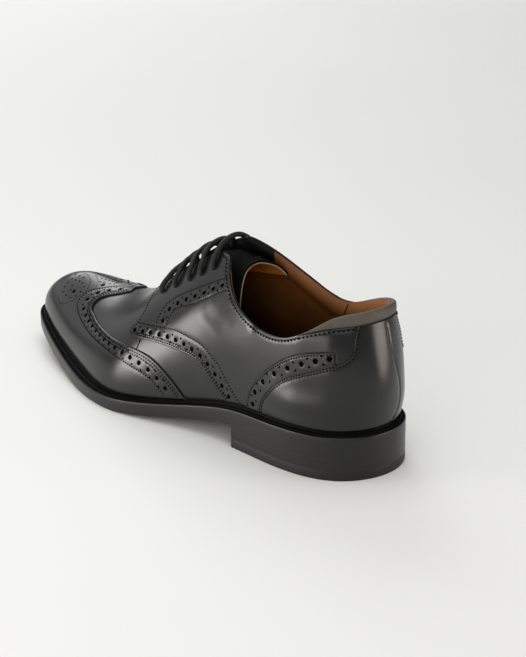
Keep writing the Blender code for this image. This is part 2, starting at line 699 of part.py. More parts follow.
def build_quarter(group, lateral):
    spacing = PANEL_SPACING * EDGE_SHARE
    band_end = BAND_END_LATERAL if lateral else BAND_END_MEDIAL
    lower = path_through(sided(QUARTER_LOWER, lateral), spacing)
    corner = np.sign(band_end) * FACING_CORNER
    top = free_edge(corner, band_end, EDGE_SPACING)
    front = path_through(np.vstack([sided(FACING_FRONT, lateral), top[:1]]), spacing)
    band = band_lower(spacing)
    band = band if lateral else band[::-1]
    strap_end = BACK_STRAP[-1][0]
    band = band[band[:, 0] * np.sign(band_end) > strap_end + STRAP_MARGIN]
    strap = path_through(sided(BACK_STRAP, lateral), spacing)[::-1]
    sweep = path_through(sided(COUNTER_SWEEP, lateral), spacing)[::-1]
    outline = np.vstack([lower, front[1:], top[1:], band, strap, sweep])
    name = "quarter_lateral" if lateral else "quarter_medial"
    return panel(group, name, outline, LAST.wall, OVERLAY_LIFT, OVERLAY_WALL, LEATHER)


def build_counter(group):
    spacing = COUNTER_SPACING * EDGE_SHARE
    edges = []
    for lateral in (True, False):
        edges.append(np.vstack([path_through(sided(COUNTER_SWEEP, lateral), spacing),
                                path_through(sided(BACK_STRAP, lateral), spacing)]))
    band = band_lower(spacing)
    band = band[np.abs(band[:, 0]) < BACK_STRAP[-1][0] - STRAP_MARGIN]
    reach = COUNTER_SWEEP[0][0]
    foot = np.linspace(-reach, reach, int(2 * reach / spacing))[1:-1]
    foot = np.stack([foot, np.full(len(foot), COUNTER_SWEEP[0][1])], -1)
    outline = np.vstack([edges[0], band, edges[1][::-1], foot])
    panel(group, "heel_counter", outline, LAST.wall, OVERLAY_LIFT, COUNTER_WALL, LEATHER,
          spacing=COUNTER_SPACING)


def build_collar_band(group):
    lower = band_lower(EDGE_SPACING)
    top = free_edge(BAND_END_MEDIAL, BAND_END_LATERAL, EDGE_SPACING)
    panel(group, "collar_band", np.vstack([lower, top]), LAST.wall, OVERLAY_LIFT, BAND_WALL,
          PADDED_BAND, spacing=BAND_SPACING)


def build_tongue(group):
    """A sheet under the facings that leaves the last and widens to its free rim."""
    shape = table(sorted(TONGUE))
    across = np.sin(np.linspace(-1.0, 1.0, TONGUE_COLUMNS) * np.pi / 2)
    rows = []
    for station in np.linspace(TONGUE[0][0], TONGUE[-1][0], TONGUE_HELD_ROWS):
        depth, half = shape(station)
        places = np.array([throat_place(station, half * share, True) for share in across])
        rows.append(LAST.roll(places, -depth))
    knots = chords(np.array(TONGUE_RIM))
    rim = Spline(knots, TONGUE_RIM)(knots[-1] * (across + 1.0) / 2)
    for free in np.linspace(0.0, 1.0, TONGUE_FREE_ROWS + 1)[1:]:
        rows.append(rows[TONGUE_HELD_ROWS - 1] * (1.0 - free) + rim * free)
    made = add_object(group, "tongue", np.concatenate(rows),
                      grid_faces(len(rows), TONGUE_COLUMNS), LEATHER)
    outward(made, INNER_POINT)
    thicken(made, TONGUE_WALL, outside=False)


def eyelet_cutter(group):
    """Ten short pins square to the last at the eyelets."""
    pins = bmesh.new()
    for station, reach in EYELETS:
        for lateral in (True, False):
            place = throat_place(station, reach - THROAT_MIDDLE, lateral)[None]
            inner, outer = (Vector(placed(LAST.roll(place, lift))[0]) for lift in (-PIN_REACH, PIN_REACH))
            made = bmesh.ops.create_cone(
                pins, cap_ends=True, segments=PIN_SIDES, radius1=EYELET_DIAMETER * MM / 2,
                radius2=EYELET_DIAMETER * MM / 2, depth=(outer - inner).length)
            turn = (outer - inner).to_track_quat("Z", "Y").to_matrix()
            bmesh.ops.rotate(pins, verts=made["verts"], cent=(0.0, 0.0, 0.0), matrix=turn)
            bmesh.ops.translate(pins, verts=made["verts"], vec=(inner + outer) / 2)
    mesh = bpy.data.meshes.new("eyelet_pins")
    pins.to_mesh(mesh)
    pins.free()
    made = bpy.data.objects.new("eyelet_pins", mesh)
    made.hide_render = True
    made.display_type = "WIRE"
    group.objects.link(made)
    return made


def cut(made, cutter, operation):
    step = made.modifiers.new(operation.lower(), "BOOLEAN")
    step.operation = operation
    step.solver = "EXACT"
    step.object = cutter


def strand(group, name, start, end, finish, arch=LACE_ARCH):
    """A length of lace arching over the throat between two pattern places."""
    share = np.linspace(0.0, 1.0, LACE_POINTS)
    places = np.asarray(start) + (np.asarray(end) - np.asarray(start)) * share[:, None]
    base = OVERLAY_LIFT + OVERLAY_WALL + LACE_DIAMETER / 2 + LACE_CLEARANCE
    points = placed(LAST.roll(places, base + arch * np.sin(np.pi * share)))
    curve = bpy.data.curves.new(name, "CURVE")
    curve.dimensions = "3D"
    curve.bevel_depth = LACE_DIAMETER * MM / 2
    curve.bevel_resolution = 2
    curve.use_fill_caps = True
    line = curve.splines.new("POLY")
    line.points.add(len(points) - 1)
    for slot, point in zip(line.points, points):
        slot.co = (*point, 1.0)
    tube = bpy.data.objects.new(name + "_line", curve)
    group.objects.link(tube)
    graph = bpy.context.evaluated_depsgraph_get()
    mesh = bpy.data.meshes.new_from_object(tube.evaluated_get(graph))
    bpy.data.objects.remove(tube, do_unlink=True)
    edit = bmesh.new()
    edit.from_mesh(mesh)
    bmesh.ops.remove_doubles(edit, verts=edit.verts[:], dist=MERGE * MM)
    bmesh.ops.recalc_face_normals(edit, faces=edit.faces[:])
    edit.to_mesh(mesh)
    edit.free()
    made = bpy.data.objects.new(name, mesh)
    if finish is not None:
        mesh.materials.append(material(name, finish))
    group.objects.link(made)
    return made


def build_lace(group, cutters):
    """The bar at the front and four crossings, each two strands joined where they meet."""
    rows = [station for station, _ in EYELETS]
    bar = [throat_place(rows[0], LACE_REACH, lateral) for lateral in (True, False)]
    strand(group, "lace_bar_front", *bar, LACE_COTTON, LACE_BAR_ARCH)
    for number, (there, here, share) in enumerate(zip(rows, rows[1:], LACE_FAR_SHARES), start=1):
        far = here + (there - here) * share
        ends = []
        for lateral in (True, False):
            ends.append((throat_place(here, LACE_REACH, lateral),
                         throat_place(far, LACE_FAR_REACH, not lateral)))
        made = strand(group, f"lace_cross_{number}", *ends[0], LACE_COTTON)
        other = strand(cutters, f"lace_under_{number}", *ends[1], None)
        other.hide_render = True
        other.display_type = "WIRE"
        cut(made, other, "UNION")


def main():
    clear_scene()
    parts = collection(OBJECT_NAME)
    cutters = collection(OBJECT_NAME + "_cutters")
    build_outsole(parts)
    build_welt(parts)
    build_insole(parts)
    build_heel(parts)
    pins = eyelet_cutter(cutters)
    cut(build_upper(parts), pins, "DIFFERENCE")
    build_wing_cap(parts)
    for lateral in (True, False):
        cut(build_quarter(parts, lateral), pins, "DIFFERENCE")
    build_counter(parts)
    build_collar_band(parts)
    build_tongue(parts)
    build_lace(parts, cutters)


main()
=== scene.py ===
"""Looks of a black full-brogue derby shoe for the left foot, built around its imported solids.

Sizes are millimetres on the shoe's last: x runs from the back of the heel to the toe, +y is
the outer (lateral) side of the foot and z is height above the floor.  Meshes are made in
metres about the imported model's origin.
"""
import logging
import math
from collections.abc import Callable, Sequence
from dataclasses import dataclass, field
from enum import Enum
from functools import cache

import bpy
import numpy as np
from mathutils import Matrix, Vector
from mathutils.geometry import delaunay_2d_cdt
from mathutils.kdtree import KDTree


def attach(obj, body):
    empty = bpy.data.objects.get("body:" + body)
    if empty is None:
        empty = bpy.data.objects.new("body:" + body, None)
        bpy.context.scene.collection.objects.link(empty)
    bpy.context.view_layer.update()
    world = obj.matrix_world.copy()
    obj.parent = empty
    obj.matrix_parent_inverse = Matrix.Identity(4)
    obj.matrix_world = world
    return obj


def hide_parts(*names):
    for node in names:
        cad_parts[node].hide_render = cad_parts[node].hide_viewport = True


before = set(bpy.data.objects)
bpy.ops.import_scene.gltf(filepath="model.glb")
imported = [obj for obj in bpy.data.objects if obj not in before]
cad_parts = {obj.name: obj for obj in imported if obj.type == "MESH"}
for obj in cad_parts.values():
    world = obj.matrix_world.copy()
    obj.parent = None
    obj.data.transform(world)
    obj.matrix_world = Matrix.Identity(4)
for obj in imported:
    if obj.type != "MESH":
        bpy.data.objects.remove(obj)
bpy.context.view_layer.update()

MM = 0.001
BODY = "root"
# points that are worked on at once
BATCH = 1000
LOG = logging.getLogger("derby")
Array = np.ndarray
Rows = Sequence[Sequence[float]]
Pair = tuple[float, float]
Triple = tuple[float, float, float]

# x, y of the sole's outline: heel back, lateral side, toe, medial side
SOLE_OUTLINE = [
    (0.0, 0.0), (9.8, 25.0), (38.0, 36.9), (80.0, 37.2), (115.0, 39.2), (148.0, 47.6),
    (176.0, 52.9), (205.0, 48.8), (235.0, 38.6), (262.0, 27.8), (285.0, 17.6), (299.5, 8.0),
    (304.0, -4.0), (299.5, -16.0), (285.0, -29.0), (262.0, -42.0), (235.0, -49.8),
    (205.0, -50.5), (176.0, -43.5), (148.0, -35.0), (115.0, -31.0), (80.0, -34.0),
    (38.0, -36.4), (9.8, -24.8)]
# station, height of the welt's upper face
WELT_TOP = [
    (0, 25.0), (30, 24.6), (60, 23.8), (85, 22.3), (115, 16.8), (148, 10.8), (176, 8.0),
    (205, 8.0), (235, 10.4), (262, 14.0), (285, 18.3), (304, 22.5)]
# station, lateral and medial inset of the upper's foot from the sole's edge
FEATHER_INSET = [
    (0, 5.4, 5.4), (60, 5.4, 5.4), (115, 5.8, 5.8), (160, 7.2, 6.2), (205, 7.8, 7.2),
    (250, 7.0, 7.0), (304, 5.2, 5.2)]
# station, ridge y, ridge height, fullness, side bulge
SECTIONS = [
    (38, 0.0, 124.8, 2.30, 3.3), (70, 0.5, 119.8, 2.25, 2.7), (100, 1.0, 112.8, 2.10, 2.3),
    (125, 1.0, 103.8, 1.92, 2.0), (150, 0.0, 90.0, 1.68, 2.0), (177, -1.5, 68.3, 1.82, 2.2),
    (205, -3.0, 54.8, 1.85, 2.6), (235, -4.6, 49.8, 1.84, 2.8), (262, -5.2, 49.6, 1.91, 2.7)]
HEEL_CENTRE, TOE_CENTRE, FAN_SOFTNESS = 38.0, 262.0, 14.0
# station, height of the collar's edge
COLLAR_LATERAL = [
    (4, 92.3), (10, 91.6), (18, 89.0), (26, 84.0), (36, 78.2), (46, 74.2), (58, 72.8),
    (70, 74.0), (80, 77.0), (88, 80.5), (96, 86.5), (102, 93.0), (108, 101.5)]
COLLAR_MEDIAL = [
    (4, 92.3), (8, 91.6), (16, 89.8), (26, 87.5), (36, 84.5), (48, 80.0), (58, 77.0),
    (66, 77.2), (77, 82.3), (89, 90.0), (101, 98.8), (107, 103.0), (110, 105.2), (112.5, 107.6),
    (115, 110.5)]
# reach of the throat's two edges from the ridge, and of its middle line
THROAT_FRONT, THROAT_ROUND, THROAT_LATERAL, THROAT_MEDIAL = 180.0, 5.0, 13.0, 3.0
THROAT_MIDDLE = (THROAT_LATERAL - THROAT_MEDIAL) / 2
# station, lateral reach over the last from the ridge; as far from the middle line on both sides
EYELETS = [(160.6, 25.2), (148.8, 26.2), (136.7, 26.0), (127.3, 24.8), (117.8, 22.9)]


class Spline:
    """A smooth cubic curve through rows of values, open or closed."""

    def __init__(self, knots: Sequence[float], values: Rows, closed: bool = False) -> None:
        """Fit the curve.

        Args:
            knots: Rising parameter of each row.
            values: One row of numbers for each knot.
            closed: Whether the last row meets the first one smoothly.
        """
        self.knots = np.asarray(knots, float)
        self.values = np.asarray(values, float).reshape(len(self.knots), -1)
        self.closed = closed
        self.slopes = self._slopes()

    def _slopes(self) -> Array:
        """Slopes at the knots that make the curve's bend continuous.

        Returns:
            One row of slopes for each knot.
        """
        gaps = np.diff(self.knots)
        rises = np.diff(self.values, axis=0) / gaps[:, None]
        count = len(gaps) if self.closed else len(self.knots)
        matrix = np.zeros((count, count))
        right = np.zeros((count, self.values.shape[1]))
        for i in range(count):
            before, after = (i - 1) % len(gaps), i % len(gaps)
            if self.closed or 0 < i < count - 1:
                matrix[i, (i - 1) % count] += 1.0 / gaps[before]
                matrix[i, i] += 2.0 / gaps[before] + 2.0 / gaps[after]
                matrix[i, (i + 1) % count] += 1.0 / gaps[after]
                right[i] = 3.0 * (rises[before] / gaps[before] + rises[after] / gaps[after])
        if not self.closed:
            matrix[0, :2], right[0] = (2.0, 1.0), 3.0 * rises[0]
            matrix[-1, -2:], right[-1] = (1.0, 2.0), 3.0 * rises[-1]
        slopes = np.linalg.solve(matrix, right)
        return np.vstack([slopes, slopes[:1]]) if self.closed else slopes

    def __call__(self, at: Array | float) -> Array:
        """Rows of the curve at some parameters.

        Args:
            at: Parameters of any shape.

        Returns:
            Their rows, in a last axis added to that shape.
        """
        at = np.asarray(at, float)
        first, last = self.knots[0], self.knots[-1]
        at = first + np.mod(at - first, last - first) if self.closed else np.clip(at, first, last)
        i = np.clip(np.searchsorted(self.knots, at, side="right") - 1, 0, len(self.knots) - 2)
        gap = (self.knots[i + 1] - self.knots[i])[..., None]
        s = (at - self.knots[i])[..., None] / gap
        out, into = self.slopes[i] * gap, self.slopes[i + 1] * gap
        return ((2 * s ** 3 - 3 * s ** 2 + 1) * self.values[i] + (s ** 3 - 2 * s ** 2 + s) * out
                + (3 * s ** 2 - 2 * s ** 3) * self.values[i + 1] + (s ** 3 - s ** 2) * into)


def table(rows: Rows) -> Spline:
    """A spline of the other columns against the first."""
    rows = np.asarray(rows, float)
    return Spline(rows[:, 0], rows[:, 1:])


def unit(vectors: Array) -> Array:
    """The same directions with a length of one."""
    return vectors / np.linalg.norm(vectors, axis=-1, keepdims=True)


def lengths_along(points: Rows) -> Array:
    """Length along a polyline up to each of its points."""
    steps = np.linalg.norm(np.diff(points, axis=0), axis=1)
    return np.concatenate([[0.0], np.cumsum(steps)])


def even_steps(length: float, spacing: float) -> Array:
    """Lengths from nothing to the whole, about one spacing apart."""
    return np.linspace(0.0, length, max(2, int(round(length / spacing)) + 1))


def path_through(points: Rows, spacing: float) -> Array:
    """Points about one spacing apart on a smooth curve through the given points."""
    knots = lengths_along(points)
    return Spline(knots, points)(even_steps(knots[-1], spacing))


def at_steps(path: Array, length: Array, spacing: float) -> Array:
    """Points of a polyline about one spacing apart, by a length that is given at its corners."""
    at = even_steps(length[-1], spacing)
    return np.stack([np.interp(at, length, column) for column in path.T], -1)


def resampled(path: Array, spacing: float) -> Array:
    """The same polyline with points about one spacing apart."""
    return at_steps(path, lengths_along(path), spacing)


def beside(path: Array, distance: float) -> Array:
    """A polyline in a plane moved to its left by a distance."""
    way = unit(np.gradient(path, axis=0))
    return path + np.stack([-way[:, 1], way[:, 0]], -1) * distance


def area_of(loop: Array) -> float:
    """Signed area of a closed polygon."""
    ahead = np.roll(loop, -1, axis=0)
    return float(np.sum(loop[:, 0] * ahead[:, 1] - ahead[:, 0] * loop[:, 1]) / 2)


def inset_loop(loop: Array, amount: float) -> Array:
    """A closed polygon moved inwards by a small amount.

    Args:
        loop: Corners of the polygon.
        amount: Distance inwards.

    Returns:
        The moved corners.
    """
    way = np.roll(loop, -1, axis=0) - np.roll(loop, 1, axis=0)
    way /= np.maximum(np.linalg.norm(way, axis=1, keepdims=True), 1e-9)
    inward = np.stack([-way[:, 1], way[:, 0]], -1) * np.sign(area_of(loop))
    return loop + inward * amount


def inside(points: Array, polygon: Array) -> Array:
    """Which points lie inside a closed polygon.

    Args:
        points: Points in the plane.
        polygon: Corners of the polygon.

    Returns:
        True for each point inside.
    """
    x, y = points[:, :1], points[:, 1:]
    ax, ay = polygon[:, 0], polygon[:, 1]
    bx, by = np.roll(ax, -1), np.roll(ay, -1)
    spans = (ay > y) != (by > y)
    crossing = ax + (y - ay) * (bx - ax) / np.where(by == ay, 1e-12, by - ay)
    return (np.sum(spans & (x < crossing), axis=1) % 2) == 1


def distance_to(points: Array, path: Array, closed: bool = False) -> Array:
    """Distance of each point from a polyline.

    Args:
        points: Points in the plane.
        path: Corners of the polyline.
        closed: Whether the last corner joins the first.

    Returns:
        One distance for each point.
    """
    ends = np.roll(path, -1, axis=0) if closed else path[1:]
    starts = path if closed else path[:-1]
    ahead = ends - starts
    found = np.full(len(points), np.inf)
    for begin in range(0, len(points), BATCH):
        offset = points[begin:begin + BATCH, None] - starts[None]
        share = np.clip(np.sum(offset * ahead, -1) / np.maximum(np.sum(ahead ** 2, -1), 1e-12), 0, 1)
        found[begin:begin + BATCH] = np.linalg.norm(offset - share[..., None] * ahead, axis=-1).min(1)
    return found


class Last:
    """The shoe's last: run 0..1 goes round the foot line, rise 0..1 from it to the ridge."""

    SAMPLES = 4001
    COLUMNS = 1441
    STEPS = 121
    SIDE_BLEND = 8.0

    def __init__(self) -> None:
        """Work out the outline, the sections and the tables of lengths over the surface."""
        points = np.array(SOLE_OUTLINE + SOLE_OUTLINE[:1])
        chords = np.sqrt(np.linalg.norm(np.diff(points, axis=0), axis=1))
        knots = np.concatenate([[0.0], np.cumsum(chords)])
        self.curve = Spline(knots, points, closed=True)
        self.knots = np.linspace(0.0, knots[-1], self.SAMPLES)
        around = self.curve(self.knots)
        length = lengths_along(around)
        self.perimeter = length[-1]
        self.runs = length / length[-1]
        self.tip = self.runs[np.argmax(around[:, 0])]
        self.welt_top = table(WELT_TOP)
        self.inset = table(FEATHER_INSET)
        self.section = table(SECTIONS)
        self.collars = table(COLLAR_LATERAL), table(COLLAR_MEDIAL)
        edge = self.outline(np.linspace(0.0, 1.0, self.SAMPLES))
        self.origin = np.append((edge.min(axis=0) + edge.max(axis=0)) / 2, 0.0)
        self.rises = np.linspace(0.0, 1.0, self.STEPS)
        self.columns = np.linspace(0.0, 1.0, self.COLUMNS)
        grid = self.surface(self.columns[:, None], self.rises)
        steps = np.linalg.norm(np.diff(grid, axis=1), axis=-1)
        self.lengths = np.concatenate([np.zeros((self.COLUMNS, 1)), np.cumsum(steps, axis=1)], 1)
        self.heights = grid[..., 2]
        foot = self.foot(self.columns)
        self.starts = self.ridge_places(foot)
        self.ways = unit(foot[:, :2] - self.starts)

    def placed(self, points: Array) -> Array:
        """Scene places, in metres, of points in millimetres on the last."""
        return (np.asarray(points, float) - self.origin) * MM

    def outline(self, run: Array, inset: Array | float = 0.0) -> Array:
        """Points of the sole's outline, moved in by an inset.

        Args:
            run: Runs of the points.
            inset: Distance inwards, for all runs or one each.

        Returns:
            Plan places.
        """
        def on_curve(at: Array) -> Array:
            """Points of the outline itself."""
            return self.curve(np.interp(np.mod(at, 1.0), self.runs, self.knots))
        step = 1e-4
        ahead = unit(on_curve(run + step) - on_curve(run - step))
        inward = np.stack([ahead[..., 1], -ahead[..., 0]], -1)
        return on_curve(run) + inward * np.broadcast_to(inset, np.shape(run))[..., None]

    def feather(self, run: Array) -> Array:
        """How far the upper's foot stands in from the sole's edge.

        Args:
            run: Runs of the points.

        Returns:
            One inset for each run.
        """
        edge = self.outline(run)
        both = self.inset(edge[..., 0])
        side = 0.5 + 0.5 * np.tanh(edge[..., 1] / self.SIDE_BLEND)
        return both[..., 0] * side + both[..., 1] * (1.0 - side)

    def foot(self, run: Array, inset: float = 0.0) -> Array:
        """The line where the upper meets the welt, moved in by an inset."""
        line = self.outline(run, self.feather(run) + inset)
        return np.concatenate([line, self.welt_top(line[..., 0])], -1)

    def spine(self, x: Array) -> Array:
        """Station of the ridge point that a section starts from, clamped softly at the ends."""
        above = HEEL_CENTRE + FAN_SOFTNESS * np.logaddexp(0.0, (x - HEEL_CENTRE) / FAN_SOFTNESS)
        return TOE_CENTRE - FAN_SOFTNESS * np.logaddexp(0.0, (TOE_CENTRE - above) / FAN_SOFTNESS)

    def ridge_places(self, foot: Array) -> Array:
        """Plan places of the ridge points above some points of the foot line."""
        station = self.spine(foot[..., 0])
        return np.stack([station, self.section(station)[..., 0]], -1)

    def surface(self, run: Array, rise: Array) -> Array:
        """Points of the last's surface.

        Args:
            run: Runs of the points.
            rise: Rises of the points.

        Returns:
            Points in the shape that the two make together.
        """
        run, rise = np.broadcast_arrays(np.asarray(run, float), np.asarray(rise, float))
        foot = self.foot(run)
        station = self.spine(foot[..., 0])
        ridge_y, ridge_z, fullness, bulge = np.moveaxis(self.section(station), -1, 0)
        slope = self.section(station + 0.5)[..., 1] - self.section(station - 0.5)[..., 1]
        angle = np.clip(rise, 0.0, 1.0) * np.pi / 2
        across = np.clip(np.cos(angle), 0.0, 1.0) ** (2 / fullness)
        up = np.clip(np.sin(angle), 0.0, 1.0) ** (2 / fullness)
        dx, dy = foot[..., 0] - station, foot[..., 1] - ridge_y
        belly = bulge * np.sin(np.pi * up ** 0.75) * np.sqrt(across)
        share = across + belly / np.hypot(dx, dy)
        top = ridge_z + np.where(station > THROAT_FRONT, slope * dx * share, 0.0)
        height = foot[..., 2] + (top - foot[..., 2]) * up
        return np.stack([station + dx * share, ridge_y + dy * share, height], -1)

    def normals(self, run: Array, rise: Array) -> Array:
        """Outward directions at points of the surface.

        Args:
            run: Runs of the points.
            rise: Rises of the points.

        Returns:
            Directions of length one.
        """
        step = 1e-3
        rise = np.clip(rise, 0.0, 1.0)
        low, high = np.clip(rise - step, 0.002, 1.0), np.clip(rise + step, 0.004, 1.0)
        along = self.surface(run + step, rise) - self.surface(run - step, rise)
        return unit(np.cross(self.surface(run, high) - self.surface(run, low), along))

    def lifted(self, run: Array, rise: Array, lift: Array | float) -> Array:
        """Surface points moved out along the surface's normal."""
        run = np.asarray(run, float)
        return self.surface(run, rise) + self.normals(run, rise) * np.asarray(lift)[..., None]

    def _rows(self, values: Array, run: Array) -> Array:
        """Rows of a table of the surface at some runs.

        Args:
            values: One row for each column of the surface.
            run: Runs that are asked for.

        Returns:
            A row for each run, worked out between two columns.
        """
        at = np.mod(np.asarray(run, float), 1.0) * (self.COLUMNS - 1)
        i = np.minimum(at.astype(int), self.COLUMNS - 2)
        share = (at - i)[:, None]
        return values[i] * (1 - share) + values[i + 1] * share

    def _rise_where(self, rows: Array, wanted: Array) -> Array:
        """Rise where each rising row reaches a value.

        Args:
            rows: Rows of values that rise from the foot to the ridge.
            wanted: One value for each row.

        Returns:
            One rise for each row.
        """
        i = np.clip(np.sum(rows < wanted[:, None], axis=1), 1, self.STEPS - 1)
        k = np.arange(len(rows))
        low, high = rows[k, i - 1], rows[k, i]
        share = np.clip((wanted - low) / np.maximum(high - low, 1e-9), 0.0, 1.0)
        return self.rises[i - 1] + (self.rises[i] - self.rises[i - 1]) * share

    def girth(self, run: Array) -> Array:
        """Length of whole sections from the foot to the ridge."""
        return self._rows(self.lengths, run)[:, -1]

    def rise_from_foot(self, run: Array, length: Array | float) -> Array:
        """Rise at a length over the surface from the foot."""
        rows = self._rows(self.lengths, run)
        return self._rise_where(rows, np.broadcast_to(np.asarray(length, float), len(rows)))

    def rise_from_ridge(self, run: Array, length: Array | float) -> Array:
        """Rise at a length over the surface from the ridge."""
        rows = self._rows(self.lengths, run)
        return self._rise_where(rows, rows[:, -1] - length)

    def rise_at_height(self, run: Array, height: Array) -> Array:
        """Rise where sections reach a height."""
        return self._rise_where(self._rows(self.heights, run), height)

    def length_at(self, run: Array, rise: Array) -> Array:
        """Length over the surface from the foot up to a rise.

        Args:
            run: Runs of the sections.
            rise: One rise for each run.

        Returns:
            One length for each run.
        """
        rows = self._rows(self.lengths, run)
        at = np.clip(rise, 0.0, 1.0) * (self.STEPS - 1)
        i = np.minimum(at.astype(int), self.STEPS - 2)
        k = np.arange(len(rows))
        return rows[k, i] + (rows[k, i + 1] - rows[k, i]) * (at - i)

    def half(self, lateral: bool) -> Array:
        """Runs along one side from the heel back to the toe."""
        return np.linspace(0.0 if lateral else 1.0, self.tip, self.SAMPLES)

    def run_at(self, station: Array | float, lateral: bool) -> Array:
        """Run of the section whose foot lies at a station, on one side."""
        half = self.half(lateral)
        return np.interp(station, self.foot(half)[:, 0], half)

    def facing_rise(self, run: Array) -> Array:
        """Rise of the collar's edge or, where that is lower, the facing's edge.

        Args:
            run: Runs of the sections.

        Returns:
            One rise for each run.
        """
        run = np.mod(run, 1.0)
        foot_x = self.foot(run)[:, 0]
        lateral, medial = (side(foot_x)[:, 0] for side in self.collars)
        height = np.where(run < self.tip, lateral, medial)
        return np.minimum(self.rise_at_height(run, height),
                          self.rise_from_ridge(run, self.throat_reach(run)))

    def throat_reach(self, run: Array) -> Array:
        """Reach of the facing's edge from the ridge on the side of each run."""
        return np.where(np.mod(run, 1.0) < self.tip, THROAT_LATERAL, THROAT_MEDIAL)

    def top_rise(self, run: Array) -> Array:
        """Rise of the upper's free edge: collar, facing or, before the throat, the ridge.

        Args:
            run: Runs of the sections.

        Returns:
            One rise for each run.
        """
        share = np.clip((self.foot(run)[:, 0] - THROAT_FRONT + THROAT_ROUND) / THROAT_ROUND, 0.0, 1.0)
        front = self.rise_from_ridge(run, self.throat_reach(run) * np.sqrt(1.0 - share ** 2))
        return np.where(share > 0.0, front, self.facing_rise(run))

    def free_edge(self, start: float, end: float, spacing: float) -> Array:
        """Wall places of the collar's and facing's edge between two runs in millimetres.

        Args:
            start: First run.
            end: Last run.
            spacing: Distance between places.

        Returns:
            Places in the wall chart.
        """
        along = np.linspace(start, end, max(2, int(abs(end - start) / spacing) + 1))
        run = along / self.perimeter
        return np.stack([along, self.length_at(run, self.facing_rise(run))], -1)


LAST = Last()


class Chart(Enum):
    """Flat layouts of the last in which patterns are drawn."""

    WALL = "run along the sole's edge, length from the foot"
    UNROLLED = "plan, each section laid out straight from the ridge"

    def spots(self, places: Array) -> tuple[Array, Array]:
        """Runs and rises of places in the chart.

        Args:
            places: Rows of two numbers in the chart.

        Returns:
            The run and the rise of each place.
        """
        if self is Chart.WALL:
            run = places[:, 0] / LAST.perimeter
            return run, LAST.rise_from_foot(run, places[:, 1])
        found, reach = np.empty(len(places)), np.empty(len(places))
        for begin in range(0, len(places), BATCH):
            offset = places[begin:begin + BATCH, None] - LAST.starts
            side = offset[..., 0] * LAST.ways[:, 1] - offset[..., 1] * LAST.ways[:, 0]
            along = np.sum(offset * LAST.ways, axis=-1)
            turns = (side[:, :-1] * side[:, 1:] <= 0) & (along[:, :-1] > -0.05)
            score = np.where(turns, np.abs(side[:, :-1]) + np.abs(side[:, 1:]), np.inf)
            i = np.argmin(score, axis=1)
            k = np.arange(len(i))
            change = side[k, i] - side[k, i + 1]
            share = np.where(np.abs(change) > 1e-12, side[k, i] / np.where(change == 0, 1, change), 0.0)
            found[begin:begin + BATCH] = (i + share) / (LAST.COLUMNS - 1)
            reach[begin:begin + BATCH] = along[k, i] * (1 - share) + along[k, i + 1] * share
        return found, LAST.rise_from_ridge(found, np.maximum(reach, 0.0))

    def points(self, places: Array, lift: Array | float = 0.0) -> Array:
        """Places of the chart wrapped over the last at a lift."""
        run, rise = self.spots(np.asarray(places, float))
        return LAST.lifted(run, rise, np.broadcast_to(lift, len(run)))

    def normals(self, places: Array) -> Array:
        """Outward directions on the last at places of the chart."""
        return LAST.normals(*self.spots(np.asarray(places, float)))

    def spread(self, places: Array) -> Array:
        """Chart steps that make one millimetre along two square directions on the last.

        Args:
            places: Places in the chart.

        Returns:
            One matrix for each place.
        """
        step = 0.2
        origin = self.points(places)
        first = (self.points(places + (step, 0.0)) - origin) / step
        second = (self.points(places + (0.0, step)) - origin) / step
        along = unit(first)
        across = unit(second - along * np.sum(second * along, axis=1, keepdims=True))
        matrix = np.stack([np.stack([np.sum(first * along, 1), np.sum(second * along, 1)], -1),
                           np.stack([np.sum(first * across, 1), np.sum(second * across, 1)], -1)], 1)
        return np.linalg.inv(matrix)

    def even(self, path: Array, pitch: float) -> Array:
        """Places along a path, evenly spaced by their true distance on the last."""
        dense = resampled(path, 0.5)
        return at_steps(dense, lengths_along(self.points(dense)), pitch)


def unrolled_rows(rows: Rows, lateral: bool) -> Array:
    """Unrolled places of (station, reach from the ridge) rows given for the lateral side.

    Args:
        rows: Stations and reaches.
        lateral: Whether they go on the lateral side, or mirrored on the medial one.

    Returns:
        Places in the unrolled chart, each reach at its share of that side's section.
    """
    rows = np.asarray(rows, float)
    own, given = (LAST.girth(LAST.run_at(rows[:, 0], side)) for side in (lateral, True))
    reach = rows[:, 1] * own / given * (1.0 if lateral else -1.0)
    return np.stack([rows[:, 0], LAST.section(rows[:, 0])[:, 0] + reach], -1)


def throat_place(station: float, reach: float, lateral: bool) -> Array:
    """Unrolled place at a reach to one side of the throat's middle line."""
    offset = THROAT_MIDDLE + (reach if lateral else -reach)
    return np.array([station, LAST.section(station)[0] + offset])


def wall_rows(rows: Rows, lateral: bool) -> Array:
    """Wall places of (run, rise) rows on one side, at the same share of its girth.

    Args:
        rows: Runs and rises given for the lateral side.
        lateral: Whether they go on that side, or mirrored on the medial one.

    Returns:
        Places in the wall chart.
    """
    rows = np.asarray(rows, float)
    if lateral:
        return rows
    run = rows[:, 0] / LAST.perimeter
    return np.stack([-rows[:, 0], rows[:, 1] * LAST.girth(-run) / LAST.girth(run)], -1)


